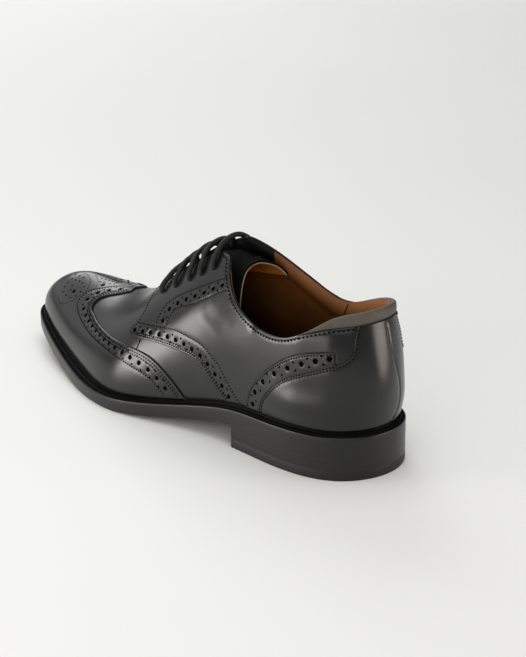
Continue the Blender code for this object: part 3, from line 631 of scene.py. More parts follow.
@dataclass
class Wire:
    """An output socket of a material's node tree that takes part in Python expressions."""

    nodes: "Nodes"
    socket: bpy.types.NodeSocket

    def _math(self, operation: str, *values: "Wire | float") -> "Wire":
        """A Math node on values."""
        return self.nodes.add("ShaderNodeMath", {"operation": operation}, *values)

    def __add__(self, other: "Wire | float") -> "Wire":
        """The sum."""
        return self._math("ADD", self, other)

    __radd__ = __add__

    def __sub__(self, other: "Wire | float") -> "Wire":
        """The difference."""
        return self._math("SUBTRACT", self, other)

    def __rsub__(self, other: float) -> "Wire":
        """The difference from a number."""
        return self._math("SUBTRACT", other, self)

    def __mul__(self, other: "Wire | float") -> "Wire":
        """The product."""
        return self._math("MULTIPLY", self, other)

    __rmul__ = __mul__

    def step(self, low: float, high: float) -> "Wire":
        """A smooth step from 0 at low to 1 at high."""
        return self.nodes.add("ShaderNodeMapRange", {"interpolation_type": "SMOOTHSTEP"},
                              self, low, high, 0.0, 1.0)


class Nodes:
    """Maker of the nodes of one material."""

    def __init__(self, name: str) -> None:
        """Start an empty material with that name.

        Args:
            name: Name of the material.
        """
        self.material = bpy.data.materials.new(name)
        self.material.use_nodes = True
        self.tree = self.material.node_tree
        self.tree.nodes.clear()

    def add(self, kind: str, settings: dict | None = None, *values: "Wire | float | tuple | None",
            output: int | str = 0, **named: "Wire | float | tuple") -> Wire:
        """Add a node.

        Args:
            kind: Type of the node.
            settings: Its own properties, set before its sockets.
            values: Values or links of its first sockets in order, with None to skip one.
            output: Which output the expression goes on from.
            named: Values or links of sockets by name, underscores for spaces.

        Returns:
            The chosen output.
        """
        node = self.tree.nodes.new(kind)
        for key, value in (settings or {}).items():
            setattr(node, key, value)
        pairs = list(zip(node.inputs, values))
        pairs += [(node.inputs[key.replace("_", " ")], value) for key, value in named.items()]
        for socket, value in pairs:
            if isinstance(value, Wire):
                self.tree.links.new(value.socket, socket)
            elif value is not None:
                socket.default_value = value
        return Wire(self, node.outputs[output])

    def place(self) -> Wire:
        """Where a point lies on the shoe, in metres."""
        return self.add("ShaderNodeTexCoord", output="Object")

    def noise(self, millimetres: float, detail: float = 3.0, stretch: tuple | None = None) -> Wire:
        """Smooth noise with features of a size in millimetres.

        Args:
            millimetres: Size of the features.
            detail: Octaves of finer noise.
            stretch: Scale of the three axes, for noise that runs along one.

        Returns:
            Values about 0.5.
        """
        place = self.place()
        if stretch is not None:
            place = self.add("ShaderNodeVectorMath", {"operation": "MULTIPLY"}, place, stretch)
        return self.add("ShaderNodeTexNoise", None, Vector=place, Scale=1.0 / (millimetres * MM),
                        Detail=detail, Roughness=0.55)

    def cells(self, millimetres: float) -> Wire:
        """Distances in a cell pattern of a size in millimetres."""
        return self.add("ShaderNodeTexVoronoi", {"feature": "F1"}, Vector=self.place(),
                        Scale=1.0 / (millimetres * MM), output="Distance")

    def height(self) -> Wire:
        """Height of a point above the floor, in metres."""
        return self.add("ShaderNodeSeparateXYZ", None, self.place(), output="Z")

    def blend(self, factor: Wire, first: "Wire | tuple", second: "Wire | tuple") -> Wire:
        """A colour between two others."""
        ends = [end if isinstance(end, Wire) else (*end, 1.0) for end in (first, second)]
        return self.add("ShaderNodeMixRGB", {"blend_type": "MIX"}, factor, *ends)

    def bump(self, height: Wire, strength: float, millimetres: float) -> Wire:
        """A normal from a height."""
        return self.add("ShaderNodeBump", None, Strength=strength, Distance=millimetres * MM,
                        Height=height)

    def finish(self, colour: Wire, roughness: Wire, normal: Wire | None = None,
               **uniform: float | tuple) -> bpy.types.Material:
        """Close the material with its surface.

        Args:
            colour: Base colour.
            roughness: Roughness.
            normal: Normal from a bump, or None.
            uniform: Other values that are the same all over.

        Returns:
            The finished material.
        """
        shader = self.add("ShaderNodeBsdfPrincipled", None, Base_Color=colour, Roughness=roughness,
                          output="BSDF")
        for key, value in uniform.items():
            shader.socket.node.inputs[key.replace("_", " ")].default_value = value
        if normal is not None:
            self.tree.links.new(normal.socket, shader.socket.node.inputs["Normal"])
        end = self.tree.nodes.new("ShaderNodeOutputMaterial")
        self.tree.links.new(shader.socket, end.inputs["Surface"])
        return self.material


@dataclass(frozen=True)
class Leather:
    """Grained leather with a waxed sheen."""

    name: str
    dark: Triple
    light: Triple
    rough: float = 0.40
    grain: float = 0.9
    depth: float = 0.05
    shine: float = 0.5
    # a darker colour painted lower down as shade, or None
    low: Triple | None = None
    # painted shade: heights in metres between which the colour changes from the low, shaded one to the
    # leather's own
    painted_shade_band: Pair = (0.045, 0.085)

    def material(self) -> bpy.types.Material:
        """The leather's material.

        Returns:
            The finished material.
        """
        nodes = Nodes(self.name)
        cloud = nodes.noise(22.0, 4.0)
        pores = nodes.cells(self.grain)
        fine = nodes.noise(self.grain * 0.45, 2.0)
        creased = nodes.noise(5.0, 3.0)
        colour = nodes.blend(cloud.step(0.3, 0.7), self.dark, self.light)
        # painted shade: darker towards the bottom, by height above the floor
        if self.low is not None:
            colour = nodes.blend(nodes.height().step(*self.painted_shade_band), self.low, colour)
        rough = self.rough - 0.05 + cloud * 0.10 + fine * 0.05
        height = pores * 0.6 + fine * 0.5 + creased * 0.8
        return nodes.finish(colour, rough, nodes.bump(height, 0.5, self.depth),
                            Specular_IOR_Level=self.shine)


@dataclass(frozen=True)
class Edge:
    """A dressed sole or heel edge with faint lines along it."""

    name: str
    dark: Triple
    light: Triple
    rough: float = 0.42
    shine: float = 0.45

    def material(self) -> bpy.types.Material:
        """The edge's material.

        Returns:
            The finished material.
        """
        nodes = Nodes(self.name)
        lines = nodes.noise(2.0, 2.0, (0.05, 0.05, 1.0))
        cloud = nodes.noise(14.0, 3.0)
        colour = nodes.blend(cloud * 0.6 + lines * 0.4, self.dark, self.light)
        rough = self.rough - 0.06 + cloud * 0.14
        return nodes.finish(colour, rough, nodes.bump(lines + nodes.noise(0.6, 2.0) * 0.4, 0.35, 0.04),
                            Specular_IOR_Level=self.shine)


@dataclass(frozen=True)
class Cotton:
    """Twisted or braided cotton of a lace or a thread."""

    name: str
    dark: Triple
    light: Triple
    braid: float = 0.8
    rough: float = 0.62
    shine: float = 0.2

    def material(self) -> bpy.types.Material:
        """The cotton's material.

        Returns:
            The finished material.
        """
        nodes = Nodes(self.name)
        weave = nodes.cells(self.braid)
        colour = nodes.blend(weave.step(0.1, 0.75), self.light, self.dark)
        rough = self.rough + weave * 0.15
        return nodes.finish(colour, rough, nodes.bump(1.0 - weave, 0.7, 0.12),
                            Specular_IOR_Level=self.shine)


@dataclass(frozen=True)
class Floor:
    """A seamless studio floor."""

    name: str = "studio_floor"
    near: Triple = (0.78, 0.785, 0.77)
    far: Triple = (0.81, 0.812, 0.80)

    def material(self) -> bpy.types.Material:
        """The floor's material.

        Returns:
            The finished material.
        """
        nodes = Nodes(self.name)
        cloud = nodes.noise(300.0, 2.0)
        return nodes.finish(nodes.blend(cloud, self.near, self.far), 0.55 + cloud * 0.1)


Finish = Leather | Edge | Cotton | Floor

BLACK_LEATHER = Leather("black_leather", (0.006, 0.0062, 0.0064), (0.0090, 0.0091, 0.0094), 0.21, 0.9,
                        0.035, 0.42)
CUT_EDGE = Leather("black_cut_edge", (0.003, 0.003, 0.003), (0.006, 0.006, 0.006), 0.6, 0.4, 0.05, 0.2)
# painted shadow: near-black walls and floors of the punched holes
PUNCH = Leather("punch_shadow", (0.0012, 0.0012, 0.0012), (0.0024, 0.0024, 0.0024), 0.8, 0.4, 0.02, 0.05)
BLACK_LINING = Leather("black_lining", (0.003, 0.003, 0.003), (0.006, 0.006, 0.006), 0.6, 0.6, 0.04, 0.2)
# brown lining whose low colour is painted shade: near black in the lower lining and on the sock, where light
# doesn't reach
BROWN_LINING_AND_PAINTED_SHADE = Leather("brown_lining_and_painted_shade", (0.155, 0.052, 0.0105), (0.236, 0.086, 0.0195), 0.50, 0.7, 0.05, 0.3,
                       (0.030, 0.009, 0.002))
# painted shade: the tongue's black face made darker and duller than the black leather, for the shade under
# the laces
TONGUE_FACE_PAINTED_SHADE = Leather("tongue_face_painted_shade", (0.0018, 0.0018, 0.0018), (0.004, 0.004, 0.004), 0.7, 0.6, 0.04, 0.05)
# painted light and shade: a brightened copy of the brown lining for the lit band under the tongue's rim,
# painted dark below it as shadow
TONGUE_LINING_PAINTED_LIGHT_AND_SHADE = Leather("tongue_lining_painted_light_and_shade", (0.44, 0.15, 0.028), (0.58, 0.21, 0.046), 0.55, 0.7, 0.05, 0.2,
                        (0.022, 0.006, 0.0015), (0.076, 0.089))
PANEL_FINISHES = (BLACK_LEATHER, CUT_EDGE, PUNCH)
GREY_BAND = Leather("grey_band", (0.066, 0.054, 0.044), (0.090, 0.076, 0.063), 0.5, 0.6, 0.05, 0.3)
RAW_EDGE = Leather("raw_edge", (0.30, 0.20, 0.11), (0.42, 0.31, 0.20), 0.7, 0.3, 0.08, 0.3)
# black welt and rand, made darker and duller than the leather as painted shade of the crevice at the upper's
# foot
WELT_BLACK_AND_PAINTED_SHADE = Leather("welt_black_and_painted_shade", (0.0012, 0.0012, 0.0012), (0.003, 0.003, 0.003), 0.5, 0.5, 0.10, 0.05)
SOLE_EDGE = Edge("sole_edge", (0.0062, 0.0060, 0.0057), (0.0108, 0.0105, 0.0100), 0.34, 0.37)
LIFT_RUBBER = Edge("lift_rubber", (0.0075, 0.0075, 0.0072), (0.0125, 0.0122, 0.0118), 0.5, 0.30)
THREAD = Cotton("black_thread", (0.0015, 0.0015, 0.0015), (0.005, 0.005, 0.005), 0.35, 0.7, 0.1)
LACE_COTTON = Cotton("lace_cotton", (0.005, 0.005, 0.0048), (0.016, 0.0155, 0.015), 0.75, 0.55, 0.3)


@cache
def material_of(finish: Finish) -> bpy.types.Material:
    """The one material of a finish, made at its first use."""
    return finish.material()


def make_piece(name: str, mesh: "Mesh", finishes: Sequence[Finish],
               replaces: Sequence[str] = (), sharp: float = 55.0) -> bpy.types.Object:
    """Make an object of the shoe from a mesh in millimetres.

    Args:
        name: Name of the piece.
        mesh: Its points and faces, each with the number of its finish.
        finishes: Finishes in the order of those numbers.
        replaces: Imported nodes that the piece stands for.
        sharp: Angle in degrees beyond which an edge isn't smoothed.

    Returns:
        The piece, riding on the shoe.
    """
    data = bpy.data.meshes.new(name)
    data.from_pydata(LAST.placed(np.concatenate(mesh.points)).tolist(), [], mesh.faces)
    for finish in finishes:
        data.materials.append(material_of(finish))
    data.polygons.foreach_set("material_index", np.array(mesh.marks, np.int32))
    data.shade_smooth()
    data.set_sharp_from_angle(angle=math.radians(sharp))
    data.validate()
    data.update()
    made = bpy.data.objects.new(name, data)
    bpy.context.scene.collection.objects.link(made)
    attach(made, BODY)
    if replaces:
        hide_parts(*replaces)
    LOG.info("%s: %d triangles", name, sum(len(face) - 2 for face in mesh.faces))
    return made


@dataclass
class Mesh:
    """Points in millimetres with faces, collected in batches."""

    points: list[Array] = field(default_factory=list)
    faces: list[tuple[int, ...]] = field(default_factory=list)
    marks: list[int] = field(default_factory=list)
    count: int = 0

    def add(self, points: Array, faces: Sequence[Sequence[int]], mark: int | Sequence[int] = 0) -> int:
        """Add a batch.

        Args:
            points: Its points.
            faces: Faces by the batch's own numbers of points.
            mark: Number of the finish, for all its faces or one each.

        Returns:
            Number that the batch's first point now has.
        """
        start = self.count
        self.points.append(np.asarray(points, float).reshape(-1, 3))
        self.count += len(self.points[-1])
        self.faces += [tuple(int(k) + start for k in face) for face in faces]
        self.marks += [mark] * len(faces) if isinstance(mark, int) else list(mark)
        return start

    def link(self, faces: Sequence[Sequence[int]], mark: int = 0) -> None:
        """Add faces between points that are there already."""
        self.faces += [tuple(int(k) for k in face) for face in faces]
        self.marks += [mark] * len(faces)

    def skirt(self, ring: Sequence[int], below: int, mark: int) -> None:
        """Join a closed ring of points to as many points that follow from a number.

        Args:
            ring: Numbers of the ring's points.
            below: Number of the first of the other points.
            mark: Number of the finish.
        """
        count = len(ring)
        self.link([(ring[k], below + k, below + (k + 1) % count, ring[(k + 1) % count])
                   for k in range(count)], mark)


def grid_faces(rows: int, columns: int, closed: bool = False, flip: bool = False) -> list[tuple]:
    """Quads of a grid of points stored row by row.

    Args:
        rows: Number of rows.
        columns: Number of points in a row.
        closed: Whether each row is a ring.
        flip: Whether the faces are turned over.

    Returns:
        The faces.
    """
    faces = []
    for i in range(rows - 1):
        for j in range(columns if closed else columns - 1):
            k = (j + 1) % columns
            face = (i * columns + j, i * columns + k, (i + 1) * columns + k, (i + 1) * columns + j)
            faces.append(face[::-1] if flip else face)
    return faces


def tube_faces(rings: int, sides: int) -> list[tuple]:
    """Faces of a tube of rings, with its two ends closed."""
    ends = [tuple(range(sides))[::-1], tuple(range((rings - 1) * sides, rings * sides))]
    return grid_faces(rings, sides, closed=True) + ends


def ring_round(centre: Array, radius: float, axes: Array, count: int) -> Array:
    """Places of a circle round a centre, by two axes that measure one millimetre."""
    angle = np.linspace(0.0, 2 * np.pi, count, endpoint=False)
    return centre + np.stack([np.cos(angle), np.sin(angle)], -1) * radius @ axes


@dataclass
class Groove:
    """A narrow line pressed into a panel, or with a negative depth a ridge."""

    path: Array
    half_width: float = 0.5
    depth: float = 0.10
    fine: bool = True


@dataclass
class Form:
    """A soft swelling of a panel, or with a negative height a hollow: an oval in its chart."""

    centre: Pair
    half: Pair
    height: float
    turn: float = 0.0

    def lift(self, places: Array) -> Array:
        """Height of the form at places of the chart.

        Args:
            places: Places in the chart.

        Returns:
            One height for each place.
        """
        offset = places - np.asarray(self.centre)
        c, s = math.cos(math.radians(self.turn)), math.sin(math.radians(self.turn))
        along = (offset[:, 0] * c + offset[:, 1] * s) / self.half[0]
        across = (offset[:, 1] * c - offset[:, 0] * s) / self.half[1]
        return self.height * np.exp(-along ** 2 - across ** 2)


@dataclass
class Panel:
    """A leather panel cut as a flat pattern, punched, and wrapped over the last."""

    chart: Chart
    outline: Array
    top: float = 1.2
    bottom: float = -0.15
    spacing: float = 1.9
    edge_round: float = 0.35
    punches: list[Triple] = field(default_factory=list)
    grooves: list[Groove] = field(default_factory=list)
    swell: Callable[[Array], Array] | None = None
    forms: Sequence[Form] = ()

    PUNCH_DEPTH = 1.0
    RIM = 0.26
    LIP = 0.06
    CLEAR = 0.42
    LARGE = 0.8
    SIDES_LARGE, SIDES_SMALL = 16, 8
    # insets of the rows of points along the edge
    EDGE_ROWS = (0.16, 0.42, 1.0)
    # rows of points along a groove, in half widths from its middle, and their spacing
    GROOVE_ROWS = (0.0, -0.6, 0.6)
    GROOVE_SPACING = 1.0

    def _take(self, kept: list[Array], candidates: Array, apart: float) -> None:
        """Keep those candidates that lie clear of all that is kept so far.

        Args:
            kept: Batches of places, which take one more.
            candidates: Places to choose from.
            apart: Least distance from what is kept.
        """
        stored = np.concatenate(kept)
        tree = KDTree(len(stored) + len(candidates))
        for i, (x, y) in enumerate(stored):
            tree.insert((x, y, 0.0), i)
        tree.balance()
        good = [p for p in candidates if tree.find((p[0], p[1], 0.0))[2] > apart]
        if good:
            kept.append(np.array(good))

    def face_at(self, places: Array) -> Array:
        """Lift of the panel's upper face between its edges and grooves."""
        lift = self.top + sum(form.lift(places) for form in self.forms)
        return lift if self.swell is None else lift + self.swell(places)

    def lift_at(self, places: Array) -> Array:
        """Lift of the panel's upper face with its rounded edge and its grooves.

        Args:
            places: Places in the chart.

        Returns:
            One lift for each place.
        """
        away = distance_to(places, self.outline, closed=True)
        share = np.clip(1.0 - away / self.edge_round, 0.0, 1.0)
        lift = self.face_at(places) - self.edge_round * (1.0 - np.sqrt(1.0 - share ** 2))
        for groove in self.grooves:
            apart = distance_to(places, groove.path)
            lift -= groove.depth * np.clip(1.0 - (apart / groove.half_width) ** 2, 0.0, 1.0) ** 2
        return lift

    def build(self) -> Mesh:
        """Cut, punch and wrap the panel.

        Returns:
            Its mesh: finish 0 is the face, 1 the cut edge and 2 the punched holes, painted as shadow.
        """
        centres = np.array([(x, y) for x, y, _ in self.punches]).reshape(-1, 2)
        radii = np.array([r for _, _, r in self.punches])
        spreads = self.chart.spread(centres) if len(centres) else np.zeros((0, 2, 2))
        sides = [self.SIDES_LARGE if r > self.LARGE else self.SIDES_SMALL for r in radii]
        drawn = list(zip(centres, radii, spreads, sides))
        loops, rims = ([ring_round(c, r + wider, s.T, n) for c, r, s, n in drawn]
                       for wider in (0.0, self.RIM))
        kept = [self.outline, *loops, *rims]
        fixed = len(self.outline) + sum(sides)
        for amount in self.EDGE_ROWS:
            ring = inset_loop(self.outline, amount)
            ring = ring[inside(ring, self.outline)]
            near = distance_to(ring, self.outline, closed=True)
            self._take(kept, ring[near > amount * 0.8], self.CLEAR * 0.3)
        for groove in self.grooves:
            if groove.fine:
                lines = resampled(groove.path, self.GROOVE_SPACING)
                for shift in self.GROOVE_ROWS:
                    line = beside(lines, shift * groove.half_width) if shift else lines
                    self._take(kept, line[inside(line, self.outline)], self.CLEAR * 0.5)
        low, high = self.outline.min(axis=0), self.outline.max(axis=0)
        net = []
        for i, y in enumerate(np.arange(low[1], high[1], self.spacing * 0.866)):
            x = np.arange(low[0] + (i % 2) * self.spacing / 2, high[0], self.spacing)
            net.append(np.stack([x, np.full(len(x), y)], -1))
        net = np.concatenate(net)
        self._take(kept, net[inside(net, self.outline)], self.spacing * 0.55)
        flat = np.concatenate(kept)
        edges, start = [], len(self.outline)
        for loop in loops:
            edges += [(start + k, start + (k + 1) % len(loop)) for k in range(len(loop))]
            start += len(loop)
        border = list(range(len(self.outline)))
        cut = delaunay_2d_cdt([Vector(p) for p in flat], edges, [border], 1, 1e-6)
        places = np.array([(p.x, p.y) for p in cut[0]])
        number = {source: k for k, sources in enumerate(cut[3]) for source in sources}
        faces = np.array([face for face in cut[2] if len(face) == 3])
        if len(centres):
            middle = places[faces].mean(axis=1)
            hole = np.zeros(len(faces), bool)
            for loop in loops:
                hole |= inside(middle, loop)
            faces = faces[~hole]
        return self._wrapped(places, faces, number, loops, fixed)

    def _wrapped(self, places: Array, faces: Array, number: dict[int, int], loops: list[Array],
                 fixed: int) -> Mesh:
        """Wrap the cut pattern and add its edges and holes.

        Args:
            places: Chart places of the pattern's points.
            faces: Its triangles.
            number: Point that each given place became.
            loops: Punched holes.
            fixed: How many given places belong to the outline and the holes.

        Returns:
            The panel's mesh.
        """
        lift = self.lift_at(places)
        rim = np.array([number[k] for k in range(len(self.outline), fixed)], int)
        lift[rim] -= np.repeat([self.LIP if len(hole) > self.SIDES_SMALL else 0.0 for hole in loops],
                               [len(hole) for hole in loops])
        run, rise = self.chart.spots(places)
        base, normal = LAST.surface(run, rise), LAST.normals(run, rise)
        sheet = base + normal * lift[:, None]
        made = Mesh()
        corner = sheet[faces]
        facing = np.cross(corner[:, 1] - corner[:, 0], corner[:, 2] - corner[:, 0])
        wrong = np.sum(facing * normal[faces[:, 0]], axis=1) < 0
        faces[wrong] = faces[wrong][:, ::-1]
        made.add(sheet, faces)
        turn = 1 if wrong.mean() < 0.5 else -1
        loop = [number[k] for k in range(len(self.outline))]
        if area_of(self.outline) * turn < 0:
            loop = loop[::-1]
        made.skirt(loop, made.add(base[loop] + normal[loop] * self.bottom, []), 1)
        start = len(self.outline)
        for hole in loops:
            ring = [number[start + k] for k in range(len(hole))]
            start += len(hole)
            if area_of(hole) * turn > 0:
                ring = ring[::-1]
            deep = made.add(sheet[ring] - normal[ring] * self.PUNCH_DEPTH, [])
            made.skirt(ring, deep, 2)
            made.link([range(deep, deep + len(ring))], 2)
        return made


@dataclass
class Stitching:
    """Rows of single stitches of thread lying in their grooves."""

    chart: Chart
    face: Callable[[Array], Array]
    pitch: float = 1.85
    length: float = 1.2
    radius: float = 0.52
    sink: float = 0.06

    SIDES = 6
    # how far the ends go down, in radii
    DIP = 1.6
    # place along the stitch, share of the radius
    PROFILE = ((-0.5, 0.35), (-0.36, 0.9), (0.0, 1.0), (0.36, 0.9), (0.5, 0.35))

    def rows(self, mesh: Mesh, paths: Sequence[Array]) -> Mesh:
        """Add the stitches of some rows to a mesh.

        Args:
            mesh: Mesh that takes them.
            paths: Rows in the chart.

        Returns:
            The same mesh.
        """
        for path in paths:
            places = self.chart.even(path, self.pitch)
            middle = self.chart.points(places, self.face(places) - self.sink)
            self.along(mesh, middle, self.chart.normals(places))
        return mesh

    def along(self, mesh: Mesh, middle: Array, normal: Array) -> None:
        """Add one stitch at each of a row of points.

        Args:
            mesh: Mesh that takes them.
            middle: Middles of the stitches.
            normal: Outward directions there.
        """
        way = unit(np.gradient(middle, axis=0))
        across = np.cross(normal, way)
        faces = tube_faces(len(self.PROFILE), self.SIDES)
        for point, ahead, side, up in zip(middle, way, across, normal):
            points = []
            for place, share in self.PROFILE:
                dip = -self.radius * self.DIP * (2 * place) ** 4
                centre = point + ahead * place * self.length + up * dip
                points.append(ring_round(centre, self.radius * share, np.stack([side, up]), self.SIDES))
            mesh.add(np.concatenate(points), faces)


def dress_panel(node: str, panel: Panel, plain: Sequence[Array], bold: Sequence[Array] = ()) -> None:
    """Make a panel's leather and its stitches.

    Args:
        node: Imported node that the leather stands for.
        panel: The panel.
        plain: Rows of fine stitches in its chart.
        bold: Rows of bold stitches.
    """
    make_piece(node + "_leather", panel.build(), PANEL_FINISHES, (node,))
    mesh = Stitching(panel.chart, panel.face_at).rows(Mesh(), plain)
    Stitching(panel.chart, panel.face_at, pitch=2.4, length=1.7, radius=0.75, sink=0.1).rows(mesh, bold)
    make_piece(node + "_stitches", mesh, (THREAD,))


def tube(mesh: Mesh, path: Array, radius: float, sides: int = 12) -> None:
    """Add a round tube along a path, with closed ends.

    Args:
        mesh: Mesh that takes it.
        path: Points along its middle.
        radius: Its radius.
        sides: Points round it.
    """
    way = unit(np.gradient(path, axis=0))
    side = np.cross(way[0], (0.0, 0.0, 1.0))
    if np.linalg.norm(side) < 1e-3:
        side = np.array((1.0, 0.0, 0.0))
    rings = []
    for point, ahead in zip(path, way):
        side = unit(side - ahead * np.dot(side, ahead))
        rings.append(ring_round(point, radius, np.stack([side, np.cross(ahead, side)]), sides))
    mesh.add(np.concatenate(rings), tube_faces(len(path), sides))


@dataclass(frozen=True)
class Brogue:
    """A brogue row's sizes: radii of large punches and pinholes, and the pinholes' offset."""

    large: float
    pin: float
    offset: float

    def row(self, middles: Array) -> list[Triple]:
        """Large punches with a pair of pinholes between neighbours.

        Args:
            middles: Chart places of the large punches.

        Returns:
            Centre and radius of each hole.
        """
        holes = [(x, y, self.large) for x, y in middles]
        between = (middles[1:] + middles[:-1]) / 2
        for shift in (-self.offset, self.offset):
            holes += [(x, y, self.pin) for x, y in beside(between, shift)]
        return holes


@dataclass
class Upper:
    """The vamp's hollow wall with its lining, open at the collar, throat and underneath."""

    columns: int = 230
    rows: int = 40
    foot: float = 0.3
    lining: float = 2.0
    edge_drop: float = 1.0
    # how much thinner the lining is at the free edge, and how far down
    edge_thin: float = 1.6
    edge_reach: float = 3.0
    # the padded roll of the collar, which ends before the facings
    roll_end: float = 120.0
    roll_blend: float = 20.0
    roll_depth: float = 1.6
    roll_middle: float = 7.0
    roll_half: float = 7.0
    facing_station: float = 103.5
    facing_depth: float = 17.0
    # runs and rises along the seams
    vamp_seam: Rows = ((182.9, 38.5), (183.3, 36.4), (184.1, 30.1), (184.6, 27.0))
    lining_seam: Rows = ((80.2, 53.4), (80.6, 51.6), (82.8, 46.2), (84.0, 40.0), (84.6, 30.0))
    seam_radius: float = 0.36
    seam_start: float = 0.6

    def _runs(self) -> Array:
        """Runs of the columns, lateral ones first, each pair meeting on the ridge.

        Returns:
            The runs, once round the shoe.
        """
        lateral = np.linspace(0.0, LAST.tip, self.columns)
        back = LAST.half(False)
        spine = LAST.spine(LAST.foot(lateral)[:, 0])
        medial = np.interp(spine, LAST.spine(LAST.foot(back)[:, 0]), back)
        return np.concatenate([lateral, medial[-2:0:-1]])

    def _depth(self, run: Array, below: Array) -> Array:
        """Depth of the lining under the last, thin at the free edge and full at its roll.

        Args:
            run: Runs of the columns.
            below: Lengths below the free edge, one or more rows of columns.

        Returns:
            Depths in the shape of the lengths.
        """
        foot_x = LAST.foot(run)[:, 0]
        roll = np.clip(1.0 - ((below - self.roll_middle) / self.roll_half) ** 2, 0.0, 1.0) ** 2
        collar = np.clip((self.roll_end - foot_x) / self.roll_blend, 0.0, 1.0)
        edge = np.clip(1.0 - below / self.edge_reach, 0.0, 1.0)
        edge = np.where(foot_x < THROAT_FRONT - THROAT_ROUND, edge, 0.0)
        return self.lining - self.edge_thin * edge ** 2 + self.roll_depth * roll * collar

    def build(self) -> None:
        """Make the wall: outer face, lining with its padded roll, and the edge between."""
        run = self._runs()
        foot_x = LAST.foot(run)[:, 0]
        count = len(run)
        share = np.linspace(0.0, 1.0, self.rows + 1)[:, None]
        low = LAST.rise_from_foot(run, self.foot)
        open_edge = foot_x < THROAT_FRONT - THROAT_ROUND
        top = LAST.top_rise(run)
        length = LAST.length_at(run, top)
        dropped = LAST.rise_from_foot(run, length - np.where(open_edge, self.edge_drop, 0.0))
        spread = np.broadcast_to(run, (self.rows + 1, count))
        outer = LAST.surface(spread, low + (dropped - low) * share)
        rise = low + (top - low) * share
        below = length - np.stack([LAST.length_at(run, row) for row in rise])
        inner = LAST.lifted(spread, rise, -self._depth(run, below))
        mesh = Mesh()
        mesh.add(outer.reshape(-1, 3), grid_faces(self.rows + 1, count, closed=True))
        faces = grid_faces(self.rows + 1, count, closed=True, flip=True)
        facing = (foot_x > self.facing_station) & (below < self.facing_depth)
        black = [1 if facing.flat[min(face)] else 2 for face in faces]
        start = mesh.add(inner.reshape(-1, 3), faces, black)
        last = self.rows * count
        rim = [k for k in range(count) if open_edge[k] and open_edge[(k + 1) % count]]
        mesh.link([(last + k, last + (k + 1) % count, start + last + (k + 1) % count, start + last + k)
                   for k in rim], 0)
        # the lining's brown is painted darker lower down as shade
        make_piece("upper_wall", mesh, (BLACK_LEATHER, BLACK_LINING, BROWN_LINING_AND_PAINTED_SHADE),
                   ("upper",))
        self._seams()

    def _seams(self) -> None:
        """Thin seam lines: the vamp's on the outside, the heel pocket's on the lining."""
        mesh = Mesh()
        for lateral in (True, False):
            path = path_through(wall_rows(self.vamp_seam, lateral), 0.8)
            tube(mesh, Chart.WALL.points(path), self.seam_radius, 8)
            path = path_through(wall_rows(self.lining_seam, lateral), 0.8)
            run = path[:, 0] / LAST.perimeter
            below = LAST.length_at(run, LAST.top_rise(run)) - path[:, 1]
            held = below > self.seam_start
            seam = Chart.WALL.points(path, -self._depth(run, below))[held]
            tube(mesh, seam, self.seam_radius, 8)
        make_piece("upper_seams", mesh, (THREAD,))


